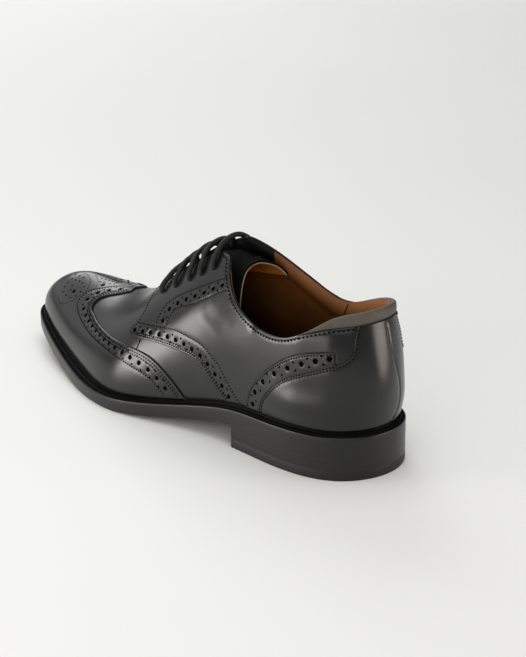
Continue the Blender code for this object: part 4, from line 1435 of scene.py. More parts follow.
@dataclass
class WingCap:
    """The winged toe cap with its punched edge, medallion and stitching."""

    peak: float = 216.5
    tail: float = 124.5
    foot: float = 2.0
    # station, reach from the ridge, along the wing's edge from the peak's corner to the tail
    edge: Rows = (
        (213.6, 6.0), (220.0, 9.6), (227.3, 13.1), (232.3, 16.7), (234.0, 20.8), (232.6, 24.8),
        (226.5, 29.0), (218.3, 33.4), (207.2, 38.7), (186.0, 48.8), (163.3, 60.6), (150.5, 69.6),
        (145.4, 74.4), (140.5, 79.6), (135.9, 84.9), (131.4, 90.7), (127.0, 97.0))
    punches: Rows = (
        (224.7, 6.3), (236.9, 13.8), (241.5, 19.3), (240.9, 24.7), (236.2, 29.1), (221.0, 36.6),
        (202.5, 44.7), (185.0, 53.4), (170.9, 61.4), (157.5, 70.9), (150.8, 76.5), (144.4, 82.9),
        (138.3, 90.5))
    front_line: Rows = (
        (231.0, 4.5), (240.0, 10.5), (247.2, 16.6), (249.2, 22.7), (245.1, 28.0), (236.8, 33.4),
        (227.2, 38.1), (217.1, 42.6), (204.8, 47.8), (191.8, 53.6), (173.6, 63.9), (160.5, 73.1),
        (148.8, 82.7), (140.2, 93.3))
    # station, offset from the ridge
    horn: Rows = (
        (268.0, 2.2), (258.0, 4.8), (252.3, 9.4), (249.6, 15.1), (251.2, 20.6), (256.3, 24.2),
        (263.8, 26.4), (271.0, 25.4), (275.0, 21.6))
    second_horn: Rows = ((257.0, 1.2), (252.3, 3.4), (247.0, 7.2), (243.6, 11.6))
    big: Rows = ((260.2, 17.7), (241.5, 7.2))
    dots: Rows = (
        (274.0, 14.7), (273.0, 11.7), (271.7, 8.9), (272.1, 18.4), (266.5, 20.8), (259.9, 22.2),
        (255.0, 20.6), (253.6, 16.8), (254.6, 13.0), (258.5, 10.6), (263.0, 9.6), (267.4, 9.4),
        (266.6, 13.6), (264.6, 17.0), (277.0, 5.1), (272.4, 5.0), (267.6, 5.6), (262.8, 6.2),
        (249.5, 2.2), (246.2, 1.9), (242.9, 1.6), (239.6, 1.3), (236.3, 1.1), (246.9, 5.4),
        (243.8, 4.6), (238.4, 4.2), (235.2, 3.2))
    # station and radius of the pressed ring, half width and depth of its groove
    ring: Pair = (227.6, 3.4)
    ring_groove: Pair = (0.45, 0.22)
    brogue: Brogue = Brogue(1.4, 0.72, 2.3)
    dot: float = 0.44
    pitch: float = 7.6
    dot_pitch: float = 1.9
    # two rows of stitches along the edge
    edge_rows: Pair = (1.5, 2.9)
    foot_places: int = 420
    # station, length above the foot, half sizes, height
    full: Rows = ((182.0, 4.0, 30.0, 8.0, 0.9),)

    def _centred(self, rows: Rows, side: float) -> Array:
        """Unrolled places of (station, offset from the ridge) rows."""
        rows = np.asarray(rows, float)
        return np.stack([rows[:, 0], LAST.section(rows[:, 0])[:, 0] + side * rows[:, 1]], -1)

    def build(self) -> None:
        """Make the cap and its stitches."""
        sides, holes, grooves, stitches = [], [], [], []
        chart = Chart.UNROLLED
        for lateral in (True, False):
            sign = 1.0 if lateral else -1.0
            tail = np.array([LAST.run_at(self.tail, lateral)])
            edge = path_through(unrolled_rows(self.edge, lateral), 1.2)
            end = self._foot_places(tail)
            sides.append((np.vstack([edge, end]), float(tail[0])))
            row = path_through(unrolled_rows(self.punches, lateral), 1.0)
            holes += self.brogue.row(chart.even(row, self.pitch))
            front = path_through(unrolled_rows(self.front_line, lateral), 1.0)
            near, far = (beside(edge, -sign * gap) for gap in self.edge_rows)
            stitches += [near[3:-2], far[4:-2], front]
            for horn in (self.horn, self.second_horn):
                line = path_through(self._centred(horn, sign), 0.5)
                holes += [(x, y, self.dot) for x, y in chart.even(line, self.dot_pitch)]
            holes += [(x, y, self.brogue.large) for x, y in self._centred(self.big, sign)]
            holes += [(x, y, self.brogue.pin) for x, y in self._centred(self.dots, sign)]
        (outer, first), (inner, last) = sides
        around = self._foot_places(np.linspace(first, last, self.foot_places)[1:-1])
        peak = unrolled_rows([(self.peak, 0.0)], True)
        tip = resampled(np.vstack([inner[:1], peak, outer[:1]]), 1.2)[1:-1]
        outline = np.vstack([tip, outer, around, inner[::-1]])
        centre = self._centred([(self.ring[0], 0.0)], 1.0)[0]
        for radius in (self.ring[1], self.ring[1] * 0.5):
            angle = np.linspace(0.0, 2 * np.pi, 40)
            circle = centre + radius * np.stack([np.cos(angle), np.sin(angle)], -1)
            grooves.append(Groove(circle, *self.ring_groove))
        grooves += [Groove(path) for path in stitches]
        panel = Panel(chart, outline, punches=holes, grooves=grooves, forms=self._forms())
        dress_panel("wing_cap", panel, stitches)

    def _forms(self) -> list[Form]:
        """Fullness of the cap's walls, lying along the foot line on both sides.

        Returns:
            The forms.
        """
        made = []
        for station, length, half, depth, height in self.full:
            for lateral in (True, False):
                runs = np.array([LAST.run_at(station + step, lateral) for step in (-4.0, 0.0, 4.0)])
                places = self._foot_places(runs, length)
                way = places[2] - places[0]
                turn = math.degrees(math.atan2(way[1], way[0]))
                made.append(Form(tuple(places[1]), (half, depth), height, turn))
        return made

    def _foot_places(self, run: Array, above: float | None = None) -> Array:
        """Unrolled places at a length above the welt, just over it unless one is given.

        Args:
            run: Runs of the places.
            above: Length from the foot, or None for the cap's lower edge.

        Returns:
            Places in the unrolled chart.
        """
        rise = LAST.rise_from_foot(run, self.foot if above is None else above)
        foot = LAST.foot(run)
        start = LAST.ridge_places(foot)
        way = unit(foot[:, :2] - start)
        reach = LAST.girth(run) - LAST.length_at(run, rise)
        return start + way * reach[:, None]


@dataclass
class CounterLines:
    """Lines that the counter, quarters and collar band share: runs and rises."""

    sweep: Rows = (
        (97.0, 2.0), (95.3, 7.2), (91.8, 15.5), (83.7, 24.9), (72.5, 34.0), (61.0, 40.8),
        (47.6, 45.4), (32.2, 47.4))
    strap: Rows = ((32.2, 40.7), (24.9, 43.5), (21.0, 48.0), (18.9, 56.0), (17.2, 61.0))
    band: Rows = (
        (35.6, 59.3), (17.2, 61.0), (0.0, 61.5), (-17.2, 61.2), (-40.0, 59.3), (-60.0, 55.4))
    band_ends: Pair = (56.7, -79.0)
    band_end_height: float = 0.5
    margin: float = 1.0
    # how much further the strap's upper part reaches on the medial side, and from which rise on
    strap_shift: float = 6.0
    shift_start: float = 40.0
    shift_blend: float = 8.0

    def band_lower(self, spacing: float) -> Array:
        """Lower edge of the collar band, lateral end first.

        Args:
            spacing: Distance between places.

        Returns:
            Places in the wall chart.
        """
        ends = [LAST.free_edge(run, run, spacing)[:1] - (0.0, self.band_end_height)
                for run in self.band_ends]
        return path_through(np.vstack([ends[0], self.band, ends[1]]), spacing)

    def strap_rows(self, rows: Rows, lateral: bool) -> Array:
        """Wall places of rows along the back strap on one side.

        Args:
            rows: Runs and rises given for the lateral side.
            lateral: Whether they go on that side.

        Returns:
            Places in the wall chart.
        """
        rows = np.array(rows, float)
        if not lateral:
            share = np.clip((rows[:, 1] - self.shift_start) / self.shift_blend, 0.0, 1.0)
            rows[:, 0] += self.strap_shift * share
        return wall_rows(rows, lateral)


LINES = CounterLines()


@dataclass
class Quarter:
    """One quarter: facing with eyelets, punched lower band and facing strip, stitched topline."""

    lateral: bool
    foot: float = 2.0
    lower: Rows = (
        (112.7, 2.0), (115.9, 5.3), (121.9, 11.3), (126.2, 16.2), (130.5, 21.8), (137.8, 27.1),
        (147.2, 30.4), (160.0, 33.4), (173.9, 35.5), (194.9, 36.6))
    front: Rows = (
        (194.9, 36.6), (195.7, 40.9), (192.6, 44.8), (190.4, 51.6), (192.3, 58.9), (195.0, 65.0))
    corner: float = 197.0
    punches: Rows = (
        (190.2, 40.4), (182.5, 40.4), (175.3, 40.3), (167.7, 39.8), (160.3, 38.8), (153.2, 37.3),
        (146.4, 35.2), (139.9, 32.6), (133.2, 29.2), (127.2, 24.5), (121.2, 18.9), (115.9, 12.5),
        (110.9, 6.6))
    upper_line: Rows = (
        (189.5, 44.9), (172.6, 44.3), (154.1, 42.6), (142.5, 39.0), (132.6, 34.9), (124.1, 28.8),
        (117.2, 22.9), (112.0, 15.8), (106.5, 9.0), (102.2, 4.4))
    strip_upper: Rows = (
        (172.6, 46.4), (170.0, 56.6), (164.4, 61.0), (152.4, 65.5), (139.1, 69.6), (123.8, 74.0))
    strip_lower: Rows = ((164.4, 44.8), (160.1, 54.0), (148.5, 57.6), (136.1, 61.9), (121.8, 66.9))
    strip_punches: Rows = (
        (167.6, 48.0), (165.0, 54.6), (159.0, 58.4), (145.3, 63.0), (132.0, 67.5), (125.2, 69.8))
    eyelet: float = 1.9
    brogue: Brogue = Brogue(1.4, 0.72, 2.2)
    strip_pitch: float = 7.4
    # distances of the rows of stitches from the lower edge, topline, band and front edge
    lower_rows: Pair = (1.5, 2.8)
    top_row: float = 1.9
    band_row: float = 1.5
    front_row: float = 1.4
    # least distance of a row from the outline
    clear: float = 0.7
    # soft folds where the quarter bends: run and rise of three points, half width, depth
    folds: Sequence[tuple[Rows, float, float]] = (
        (((133.0, 62.0), (123.0, 55.0), (111.0, 49.5)), 2.6, 0.14),
        (((126.0, 64.0), (115.0, 58.5), (101.0, 54.5)), 2.4, -0.11),
        (((118.0, 65.0), (108.0, 61.0), (97.0, 58.0)), 2.6, 0.13),
        (((134.0, 56.0), (126.0, 50.5), (117.0, 46.5)), 2.4, -0.10),
        (((136.0, 51.0), (128.0, 46.5), (121.0, 42.5)), 2.6, 0.11),
        (((104.0, 70.0), (97.0, 60.0), (93.0, 50.0)), 5.0, 0.25))
    # run and rise of the middle, half sizes, height, turn
    full: Rows = ((112.0, 40.0, 16.0, 17.0, 0.7, 0.0), (152.0, 52.0, 22.0, 9.0, 0.5, -20.0),
                  (60.0, 55.0, 30.0, 8.0, 0.5, 0.0))

    def build(self) -> None:
        """Make the quarter and its stitches."""
        chart, side = Chart.WALL, self.lateral
        sign = 1.0 if side else -1.0
        end = LINES.band_ends[0 if side else 1]
        lower = path_through(wall_rows(self.lower, side), 1.2)
        top = LAST.free_edge(sign * self.corner, end, 1.0)
        front = path_through(np.vstack([wall_rows(self.front, side), top[:1]]), 1.2)
        band = LINES.band_lower(1.2)
        band = band if side else band[::-1]
        strap = path_through(LINES.strap_rows(LINES.strap, side), 1.2)[::-1]
        band = band[band[:, 0] * sign > abs(strap[0, 0]) + LINES.margin]
        sweep = path_through(wall_rows(LINES.sweep, side), 1.2)[::-1]
        outline = np.vstack([lower, front[1:], top[1:], band[1:], strap, sweep])
        outline[:, 1] = np.maximum(outline[:, 1], self.foot)
        strip = chart.even(path_through(wall_rows(self.strip_punches, side), 1.0), self.strip_pitch)
        holes = self.brogue.row(wall_rows(self.punches, side)) + self.brogue.row(strip)
        holes += [(x, y, self.eyelet) for x, y in self.eyelets()]
        rear = top[np.abs(top[:, 0]) < self.corner - 2.0]
        stitches = [beside(lower, sign * self.lower_rows[0])[2:-2],
                    beside(lower, sign * self.lower_rows[1])[2:-3],
                    beside(resampled(rear, 1.0), sign * self.top_row)[1:],
                    beside(band, sign * self.band_row)[1:-1],
                    beside(front, sign * self.front_row)[2:-2]]
        stitches += [path_through(wall_rows(rows, side), 1.0)
                     for rows in (self.upper_line, self.strip_upper, self.strip_lower)]
        stitches = [path[inside(path, inset_loop(outline, self.clear))] for path in stitches]
        grooves = [Groove(path) for path in stitches]
        grooves += [Groove(path_through(wall_rows(rows, side), 1.0), width, depth, False)
                    for rows, width, depth in self.folds]
        forms = [Form(tuple(wall_rows([row[:2]], side)[0]), row[2:4], row[4], sign * row[5])
                 for row in self.full]
        panel = Panel(chart, outline, punches=holes, grooves=grooves, forms=forms)
        name = "quarter_lateral" if side else "quarter_medial"
        dress_panel(name, panel, stitches[:2] + stitches[4:], stitches[2:4])

    def eyelets(self) -> Array:
        """Wall places of the eyelets.

        Returns:
            One place for each eyelet, from the front back.
        """
        places = []
        for station, reach in EYELETS:
            run = np.array([LAST.run_at(station, self.lateral)])
            length = LAST.girth(run) - (reach if self.lateral else reach - 2 * THROAT_MIDDLE)
            along = run * LAST.perimeter - (0.0 if self.lateral else LAST.perimeter)
            places.append((along[0], length[0]))
        return np.array(places)


@dataclass
class HeelCounter:
    """The heel counter with its punched band, back strap and stitching."""

    top: float = 1.55
    foot: float = 3.0
    inner: Rows = (
        (84.6, 3.8), (82.8, 8.4), (76.8, 16.9), (67.3, 25.7), (56.1, 31.5), (42.7, 36.5),
        (31.0, 40.2))
    strap_line: Rows = ((29.0, 39.8), (23.4, 42.6), (19.4, 47.4), (17.3, 55.0), (15.6, 60.4))
    punches: Rows = (
        (89.7, 7.0), (86.7, 15.0), (80.3, 22.6), (71.7, 29.3), (62.0, 34.6), (52.6, 38.7),
        (43.8, 41.7), (35.2, 43.9))
    brogue: Brogue = Brogue(1.55, 0.75, 2.3)
    row_gap: float = 1.3
    # least distance of a row of stitches from the outline
    clear: float = 0.6
    foot_places: int = 190
    # run and rise of the middle, half sizes, height
    full: Rows = ((57.0, 13.5, 27.0, 9.5, 2.7), (-57.0, 13.5, 27.0, 9.5, 2.7), (3.0, 26.0, 12.0, 13.0, 1.4))
    closing_seam: Rows = (
        (-5.7, 58.0), (-5.9, 49.1), (-7.4, 42.1), (-9.2, 35.2), (-11.9, 27.9), (-14.2, 21.3),
        (-14.9, 16.0), (-13.9, 10.9), (-11.5, 6.7), (-9.5, 3.6))
    # half width and depth of that seam's groove
    seam_groove: Pair = (0.7, 0.4)

    def build(self) -> None:
        """Make the counter and its stitches."""
        chart = Chart.WALL
        edges, holes, stitches = [], [], []
        for lateral in (True, False):
            sign = 1.0 if lateral else -1.0
            sweep = path_through(wall_rows(LINES.sweep, lateral), 1.2)
            strap = path_through(LINES.strap_rows(LINES.strap, lateral), 1.2)
            corner = resampled(np.vstack([sweep[-1:], strap[:1]]), 1.2)[1:-1]
            edges.append(np.vstack([sweep, corner, strap]))
            holes += self.brogue.row(wall_rows(self.punches, lateral))
            inner = path_through(wall_rows(self.inner, lateral), 1.0)
            stitches += [beside(sweep, sign * self.row_gap)[3:-2], inner, beside(inner, sign * self.row_gap)]
            stitches.append(path_through(LINES.strap_rows(self.strap_line, lateral), 1.0))
        band = LINES.band_lower(1.2)
        band = band[(band[:, 0] < edges[0][-1, 0] - LINES.margin)
                    & (band[:, 0] > edges[1][-1, 0] + LINES.margin)]
        reach = LINES.sweep[0][0]
        foot = np.linspace(-reach, reach, self.foot_places)[1:-1]
        foot = np.stack([foot, np.full(len(foot), self.foot)], -1)
        outline = np.vstack([edges[0], band, edges[1][::-1], foot])
        outline[:, 1] = np.maximum(outline[:, 1], self.foot)
        stitches = [path[inside(path, inset_loop(outline, self.clear))] for path in stitches]
        grooves = [Groove(path) for path in stitches]
        grooves.append(Groove(path_through(self.closing_seam, 1.0), *self.seam_groove))
        forms = [Form(row[:2], row[2:4], row[4]) for row in self.full]
        panel = Panel(chart, outline, top=self.top, punches=holes, grooves=grooves, forms=forms)
        dress_panel("heel_counter", panel, stitches)


@dataclass
class CollarBand:
    """The soft padded band round the back of the collar."""

    top: float = 1.3
    puff: float = 1.3
    puff_half: float = 7.0
    # how quickly the padding fills out from the lower edge
    puff_gain: float = 1.6

    def build(self) -> None:
        """Make the band, fuller along its middle, its edges rounded along the collar."""
        lower = LINES.band_lower(1.0)
        upper = LAST.free_edge(LINES.band_ends[1], LINES.band_ends[0], 1.0)
        outline = np.vstack([lower, upper])

        def swell(places: Array) -> Array:
            """Fullness of the padding away from the band's edges."""
            away = np.minimum(distance_to(places, lower), self.puff_half)
            return self.puff * np.sin(0.5 * np.pi * np.minimum(away / self.puff_half * self.puff_gain, 1.0))

        panel = Panel(Chart.WALL, outline, top=self.top, spacing=1.3, edge_round=1.0, swell=swell)
        made = make_piece("collar_band_pad", panel.build(), (GREY_BAND,) * 3,
                          ("collar_band",))


@dataclass
class Tongue:
    """The tongue under the facings, lined in brown, its wide end free behind them."""

    # station, depth under the last, half width
    held: Rows = (
        (186.0, 3.3, 13.0), (176.0, 3.3, 23.0), (160.0, 3.3, 27.0), (142.0, 3.5, 29.0),
        (126.0, 5.0, 30.0), (118.0, 6.0, 30.0))
    # station, y, height along the rim, from the medial corner over the top
    rim: Rows = (
        (95.3, -16.0, 88.4), (96.2, -12.8, 92.2), (97.3, -8.4, 95.5), (98.1, -3.8, 97.5),
        (98.6, 1.0, 98.8), (98.6, 8.6, 98.4), (98.6, 13.6, 95.8), (98.6, 16.6, 90.8),
        (98.6, 18.6, 80.8), (98.6, 19.2, 73.8))
    wall: float = 2.0
    facing: float = 1.45
    held_rows: int = 30
    free_rows: int = 24
    columns: int = 61

    def _sheet(self) -> Array:
        """Rows of points of the tongue's upper face.

        Returns:
            Points by row and column.
        """
        shape = table(sorted(self.held))
        across = np.sin(np.linspace(-1.0, 1.0, self.columns) * np.pi / 2)
        rows = []
        for station in np.linspace(self.held[0][0], self.held[-1][0], self.held_rows):
            depth, half = shape(station)
            places = np.array([throat_place(station, half * share, True) for share in across])
            rows.append(Chart.UNROLLED.points(places, -depth))
        points = np.array(self.rim)
        knots = lengths_along(points)
        rim = Spline(knots, points)(knots[-1] * (across + 1.0) / 2)
        for free in np.linspace(0.0, 1.0, self.free_rows + 1)[1:]:
            rows.append(rows[self.held_rows - 1] * (1.0 - free) + rim * free)
        return np.array(rows)

    def build(self) -> None:
        """Make the tongue: black face painted darker as shade, brown lining painted brighter as light and
        dark as shadow lower down, and an edge that is raw on its inner half.
        """
        sheet = self._sheet()
        normal = unit(np.cross(np.gradient(sheet, axis=1), np.gradient(sheet, axis=0)))
        normal *= np.sign(normal[0, self.columns // 2, 2])
        rows, columns = sheet.shape[:2]
        mesh = Mesh()
        mesh.add(sheet.reshape(-1, 3), grid_faces(rows, columns, flip=True))
        below = (sheet - normal * self.wall).reshape(-1, 3)
        lined = mesh.add(below, grid_faces(rows, columns), 1)
        middle = mesh.add((sheet - normal * self.facing).reshape(-1, 3), [])
        border = list(range(columns)) + [i * columns + columns - 1 for i in range(1, rows)]
        border += [(rows - 1) * columns + k for k in range(columns - 2, -1, -1)]
        border += [i * columns for i in range(rows - 2, 0, -1)]
        for first, second, mark in ((0, middle, 0), (middle, lined, 2)):
            mesh.link([(first + b, second + b, second + a, first + a)
                       for a, b in zip(border, border[1:] + border[:1])], mark)
        make_piece("tongue_leather", mesh, (TONGUE_FACE_PAINTED_SHADE, TONGUE_LINING_PAINTED_LIGHT_AND_SHADE, RAW_EDGE),
                   ("tongue",))


@dataclass
class Sole:
    """Outsole, welt with its stitched rand, sock and stacked heel."""

    segments: int = 480
    welt: float = 3.0
    outsole: float = 5.2
    breast: float = 85.0
    lift: float = 5.5
    caps: int = 9
    # station, share of the rand's full height
    rand: Rows = ((0.0, 1.0), (88.0, 1.0), (135.0, 0.58), (304.0, 0.58))
    # share of the way to the upper's foot, height over the welt's face, finish
    profile: Sequence[tuple[float, float, int]] = (
        (0.05, -3.0, 0), (0.0, -2.97, 0), (0.0, -0.7, 0), (0.015, -0.3, 0), (0.05, -0.05, 0),
        (0.10, 0.0, 1), (0.18, 0.0, 1), (0.22, -0.3, 1), (0.34, -0.35, 1), (0.40, 0.3, 1),
        (0.50, 0.9, 1), (0.60, 1.0, 1), (0.67, 0.7, 1), (0.72, 1.4, 1), (0.82, 2.4, 1),
        (0.92, 3.0, 1), (1.05, 3.2, 1), (1.25, 2.4, 1))
    # where the welt's stitches lie on that way, their depth and pitch
    seam: Triple = (0.28, 0.1, 2.5)
    sock_inset: float = 2.4
    sock_rise: float = 0.8
    sock_edge: float = 2.0
    breast_hollow: float = 1.2
    # levels of the grooves between the heel's lifts, and half their width, as shares of its height
    lift_lines: Sequence[float] = (0.36, 0.69)
    line_half: float = 0.03

    def bottom(self, x: Array) -> Array:
        """Underside of the outsole, flat on the floor under the ball."""
        return np.maximum(LAST.welt_top(x)[:, 0] - self.welt - self.outsole, 0.0)

    def _runs(self) -> Array:
        """Runs once round the sole."""
        return np.arange(self.segments) / self.segments

    def _rings(self, mesh: Mesh, rings: Sequence[Array]) -> None:
        """Add a surface through closed rings."""
        mesh.add(np.concatenate(rings), grid_faces(len(rings), self.segments, closed=True))

    def _fan(self, edge: Array, height: Callable[[Array], Array], upwards: bool) -> list[Array]:
        """Rings from an edge in to the middle line of the sole.

        Args:
            edge: Plan places of the edge.
            height: Height at some stations.
            upwards: Whether they make an upper face.

        Returns:
            The rings, from the edge inwards for an upper face and outwards for a lower one.
        """
        centre = LAST.ridge_places(edge)
        rings = []
        for share in np.linspace(1.0, 0.0, self.caps):
            plan = centre + (edge - centre) * share
            rings.append(np.column_stack([plan, height(plan[:, 0])]))
        return rings if upwards else rings[::-1]

    def build(self) -> None:
        """Make every piece of the sole and heel."""
        self._outsole()
        self._welt()
        self._sock()
        self._heel()

    def _outsole(self) -> None:
        """The outsole's underside, its edge and its hidden top."""
        run = self._runs()
        free = np.clip((LAST.outline(run)[:, 0] - self.breast) / 10.0, 0.0, 1.0)
        rings = self._fan(LAST.outline(run, 1.1 * free), self.bottom, False)
        # inset and height of the rounded lower corner, which is square over the heel
        for inset, low in ((0.5, 0.15), (0.1, 0.8), (0.0, 1.8)):
            edge = LAST.outline(run, inset * free)
            rings.append(np.column_stack([edge, self.bottom(edge[:, 0]) + low * free]))
        for inset in (0.0, 9.0):
            edge = LAST.outline(run, inset)
            rings.append(np.column_stack([edge, LAST.welt_top(edge[:, 0]) - self.welt]))
        mesh = Mesh()
        self._rings(mesh, rings)
        make_piece("outsole_leather", mesh, (SOLE_EDGE,), ("outsole",), sharp=40.0)

    def _welt(self) -> None:
        """The welt: its trimmed edge, and the black rand that closes up to the upper, darkened further as
        painted shade of that crevice.
        """
        run = self._runs()
        feather = LAST.feather(run)
        mesh = Mesh()
        rings = []
        stations, shares = np.transpose(self.rand)
        for share, height, _ in self.profile:
            edge = LAST.outline(run, feather * share)
            above = height * np.interp(edge[:, 0], stations, shares) if height > 0.0 else height
            rings.append(np.column_stack([edge, LAST.welt_top(edge[:, 0])[:, 0] + above]))
        faces = grid_faces(len(rings), self.segments, closed=True)
        marks = [self.profile[face[2] // self.segments][2] for face in faces]
        mesh.add(np.concatenate(rings), faces, marks)
        make_piece("welt_rand", mesh, (SOLE_EDGE, WELT_BLACK_AND_PAINTED_SHADE), ("welt",), sharp=40.0)
        dense = np.linspace(0.0, 1.0, 2000)
        share, sink, pitch = self.seam
        line = LAST.outline(dense, LAST.feather(dense) * share)
        line = np.column_stack([line, LAST.welt_top(line[:, 0]) - sink])
        middle = resampled(line, pitch)
        up = np.broadcast_to((0.0, 0.0, 1.0), middle.shape)
        stitches = Mesh()
        Stitching(Chart.WALL, np.zeros_like, length=1.8, radius=0.42).along(stitches, middle, up)
        make_piece("welt_stitches", stitches, (THREAD,))

    def _sock(self) -> None:
        """The sock lining over the insole, all in the lining's low colour: painted shade."""
        run = self._runs()

        def height(x: Array) -> Array:
            """Top of the sock."""
            return LAST.welt_top(x)[:, 0] + self.sock_rise

        edge = LAST.foot(run, self.sock_inset)[:, :2]
        rim = np.column_stack([edge, height(edge[:, 0]) - self.sock_edge])
        mesh = Mesh()
        self._rings(mesh, [rim, *self._fan(edge, height, True)])
        make_piece("insole_sock", mesh, (BROWN_LINING_AND_PAINTED_SHADE,), ("insole",))

    def _heel_loop(self) -> Array:
        """Plan of the heel with a slightly hollow breast.

        Returns:
            Its closed outline.
        """
        run = np.linspace(-0.5, 0.5, 2401)
        edge = LAST.outline(run)
        edge = edge[(edge[:, 0] < self.breast) & (np.abs(run) < 0.2)]
        edge = resampled(edge, 1.2)
        across = np.linspace(0.0, 1.0, 24)[1:-1, None]
        breast = edge[-1] + (edge[0] - edge[-1]) * across
        breast[:, 0] -= self.breast_hollow * np.sin(np.pi * across[:, 0])
        return np.vstack([edge, breast])

    def _heel(self) -> None:
        """The stacked heel, its lifts drawn as fine grooves, and the bottom lift."""
        top = self.bottom(self._heel_loop()[:, 0])
        # inset, share of the height
        stack = [(0.06, 0.0), (0.0, 0.03)]
        for level in self.lift_lines:
            stack += [(0.0, level - self.line_half), (0.03, level), (0.0, level + self.line_half)]
        stack += [(0.0, 1.0)]
        mesh = Mesh()
        self._stack(mesh, [(inset, self.lift + (top - self.lift) * share) for inset, share in stack])
        make_piece("heel_stack", mesh, (SOLE_EDGE,), ("heel_block",), sharp=40.0)
        mesh = Mesh()
        flat = np.ones(len(top))
        self._stack(mesh, [(inset, flat * z) for inset, z in (
            (0.7, 0.0), (0.3, 0.1), (0.08, 0.5), (0.0, 1.2), (0.0, 5.35), (0.06, 5.5))])
        make_piece("heel_lift", mesh, (LIFT_RUBBER,), ("heel_top_piece",), sharp=40.0)

    def _stack(self, mesh: Mesh, levels: Sequence[tuple[float, Array]]) -> None:
        """Add a closed stack of heel plans.

        Args:
            mesh: Mesh that takes it.
            levels: Inset and heights of each plan, from the bottom up.
        """
        base = self._heel_loop()
        rings = [np.column_stack([inset_loop(base, inset), z]) for inset, z in levels]
        faces = tube_faces(len(rings), len(base))
        if area_of(base) < 0:
            faces = [face[::-1] for face in faces]
        mesh.add(np.concatenate(rings), faces)


@dataclass
class Lace:
    """Round lace: a bar at the front eyelets, then crossings from under one facing over the other."""

    radius: float = 1.5
    # share of the way over, lift of the strand's middle
    bar_lifts: Rows = ((0.0, 2.9), (0.3, 2.9), (0.5, 2.5), (0.7, 2.9), (1.0, 2.9))
    cross_lifts: Rows = ((0.0, 2.9), (0.4, 3.0), (0.75, 2.5), (1.0, 1.8))
    # lifts in an eyelet, and where a crossing goes on under the far facing
    eyelet_lifts: Pair = (-0.6, 1.6)
    tail_lifts: Triple = (1.8, 0.2, -1.6)
    reach: float = 16.3
    far_reach: float = 4.5
    # how far each crossing, from the front one back, leads on to the eyelet before it
    far_shares: Sequence[float] = (0.50, 0.75, 0.95, 0.45)
    hidden_reach: float = 8.5

    def _eyelet(self, row: Sequence[float], lateral: bool) -> Array:
        """Unrolled place of an eyelet."""
        return throat_place(row[0], row[1] - THROAT_MIDDLE, lateral)

    def _strand(self, mesh: Mesh, start: Array, end: Array, eyelets: Sequence[Array],
                under: Array | None) -> None:
        """Add one strand.

        Args:
            mesh: Mesh that takes it.
            start: Unrolled place where it lies on its own facing.
            end: Unrolled place where it meets the far side.
            eyelets: Unrolled places of its eyelets, the first one at its start.
            under: Unrolled place under the far facing where it ends, or None.
        """
        share = np.linspace(0.0, 1.0, 9)
        places = start + (end - start) * share[:, None]
        lifts = table(self.bar_lifts if under is None else self.cross_lifts)(share)[:, 0]
        wrap = Chart.UNROLLED.points
        ends = [wrap(np.stack([eyelet, eyelet]), np.array(self.eyelet_lifts)) for eyelet in eyelets]
        if under is not None:
            tail = wrap(np.stack([end, (end + under) / 2, under]), np.array(self.tail_lifts))
        else:
            tail = ends[1][::-1]
        points = np.vstack([ends[0], wrap(places, lifts)[1:-1], tail])
        tube(mesh, path_through(points, 0.7), self.radius)

    def build(self) -> None:
        """Make the bar at the front and the four crossings."""
        front = EYELETS[0]
        mesh = Mesh()
        ends = [throat_place(front[0], self.reach, lateral) for lateral in (True, False)]
        eyelets = [self._eyelet(front, lateral) for lateral in (True, False)]
        self._strand(mesh, ends[0], ends[1], eyelets, None)
        make_piece("lace_front", mesh, (LACE_COTTON,), ("lace_bar_front",))
        for number, (there, here, share) in enumerate(zip(EYELETS, EYELETS[1:], self.far_shares), start=1):
            far = here[0] + (there[0] - here[0]) * share
            mesh = Mesh()
            for lateral in (True, False):
                start = throat_place(here[0], self.reach, lateral)
                end = throat_place(far, self.far_reach, not lateral)
                under = throat_place(there[0], self.hidden_reach, not lateral)
                self._strand(mesh, start, end, [self._eyelet(here, lateral)], under)
            make_piece(f"lace_{number}", mesh, (LACE_COTTON,), (f"lace_cross_{number}",))


@dataclass(frozen=True)
class SoftLight:
    """A soft rectangular light aimed at a target, in metres and watts."""

    name: str
    place: Triple
    target: Triple
    size: Pair
    power: float
    colour: Triple = (1.0, 1.0, 1.0)

    def build(self) -> None:
        """Make the light."""
        data = bpy.data.lights.new(self.name, "AREA")
        data.shape = "RECTANGLE"
        data.size, data.size_y = self.size
        data.energy = self.power
        data.color = self.colour
        made = bpy.data.objects.new(self.name, data)
        made.location = self.place
        made.rotation_mode = "QUATERNION"
        made.rotation_quaternion = (Vector(self.target) - made.location).to_track_quat("-Z", "Y")
        made.visible_camera = False
        bpy.context.scene.collection.objects.link(made)


SHOE_MIDDLE = (0.0, 0.0, 0.04)
FAR_FLOOR = (1.5, -1.4, 0.0)


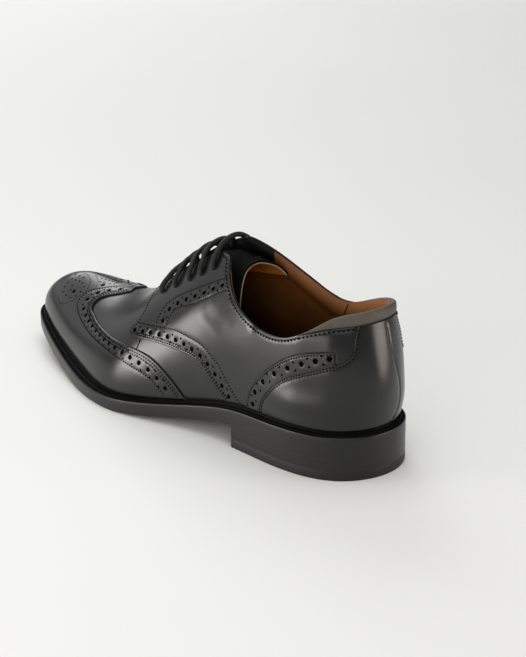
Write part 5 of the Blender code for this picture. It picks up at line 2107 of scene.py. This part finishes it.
@dataclass
class Studio:
    """Pale floor, soft light and the camera."""

    camera_at: Triple = (-689.5, 723.0, 439.1)
    target: Triple = (115.457, -15.348, 49.818)
    lens: float = 110.0
    floor_half: float = 6.0
    room_colour: tuple[float, float, float, float] = (1.0, 1.0, 0.99, 1.0)
    room_strength: float = 0.2
    lights: Sequence[SoftLight] = (
        SoftLight("soft_top", (0.0, 0.0, 2.2), SHOE_MIDDLE, (1.9, 1.9), 23.6, (1.0, 1.0, 0.99)),
        SoftLight("soft_far", (2.1, -1.2, 1.3), FAR_FLOOR, (1.5, 1.5), 25.5),
        SoftLight("soft_key", (-1.2, 1.1, 1.5), SHOE_MIDDLE, (2.0, 2.0), 18.5, (1.0, 0.99, 0.97)),
        SoftLight("soft_front", (1.7, 0.4, 0.75), SHOE_MIDDLE, (1.5, 1.1), 2.8),
        SoftLight("soft_side", (0.41, 0.67, 0.13), SHOE_MIDDLE, (0.34, 0.25), 3.1, (1.0, 0.97, 0.93)),
        SoftLight("soft_rear", (-0.03, 0.85, 0.12), SHOE_MIDDLE, (0.70, 0.22), 1.6, (1.0, 0.94, 0.88)),
        SoftLight("soft_back", (-0.64, -0.38, 0.10), SHOE_MIDDLE, (0.30, 0.25), 1.35, (1.0, 0.90, 0.80)))

    def build(self) -> None:
        """Make the studio."""
        self._camera()
        self._floor()
        self._lights()

    def _camera(self) -> None:
        """The camera at the photograph's viewing angle."""
        data = bpy.data.cameras.new("camera")
        data.lens = self.lens
        data.sensor_width = 36.0
        data.clip_start, data.clip_end = 0.05, 100.0
        made = bpy.data.objects.new("camera", data)
        place, target = (Vector(LAST.placed([p])[0]) for p in (self.camera_at, self.target))
        made.location = place
        made.rotation_mode = "QUATERNION"
        made.rotation_quaternion = (target - place).to_track_quat("-Z", "Y")
        bpy.context.scene.collection.objects.link(made)
        bpy.context.scene.camera = made

    def _floor(self) -> None:
        """A wide level floor."""
        data = bpy.data.meshes.new("studio_floor")
        half = self.floor_half
        data.from_pydata([(-half, -half, 0), (half, -half, 0), (half, half, 0), (-half, half, 0)], [],
                         [(0, 1, 2, 3)])
        data.materials.append(material_of(Floor()))
        made = bpy.data.objects.new("studio_floor", data)
        bpy.context.scene.collection.objects.link(made)

    def _lights(self) -> None:
        """A bright room, wide soft lights above and around, and small ones low beside the shoe."""
        world = bpy.data.worlds.new("studio")
        world.use_nodes = True
        background = world.node_tree.nodes["Background"]
        background.inputs["Color"].default_value = self.room_colour
        background.inputs["Strength"].default_value = self.room_strength
        bpy.context.scene.world = world
        bpy.context.scene.view_settings.view_transform = "Standard"
        for light in self.lights:
            light.build()


def main() -> None:
    """Build the shoe's pieces in order, then the studio."""
    logging.basicConfig(level=logging.INFO, format="%(name)s %(message)s")
    for part in (Studio(), Sole(), Upper(), WingCap(), Quarter(True), Quarter(False), HeelCounter(),
                 CollarBand(), Tongue(), Lace()):
        part.build()
        LOG.info("%s built", type(part).__name__)


if __name__ == "__main__":
    main()
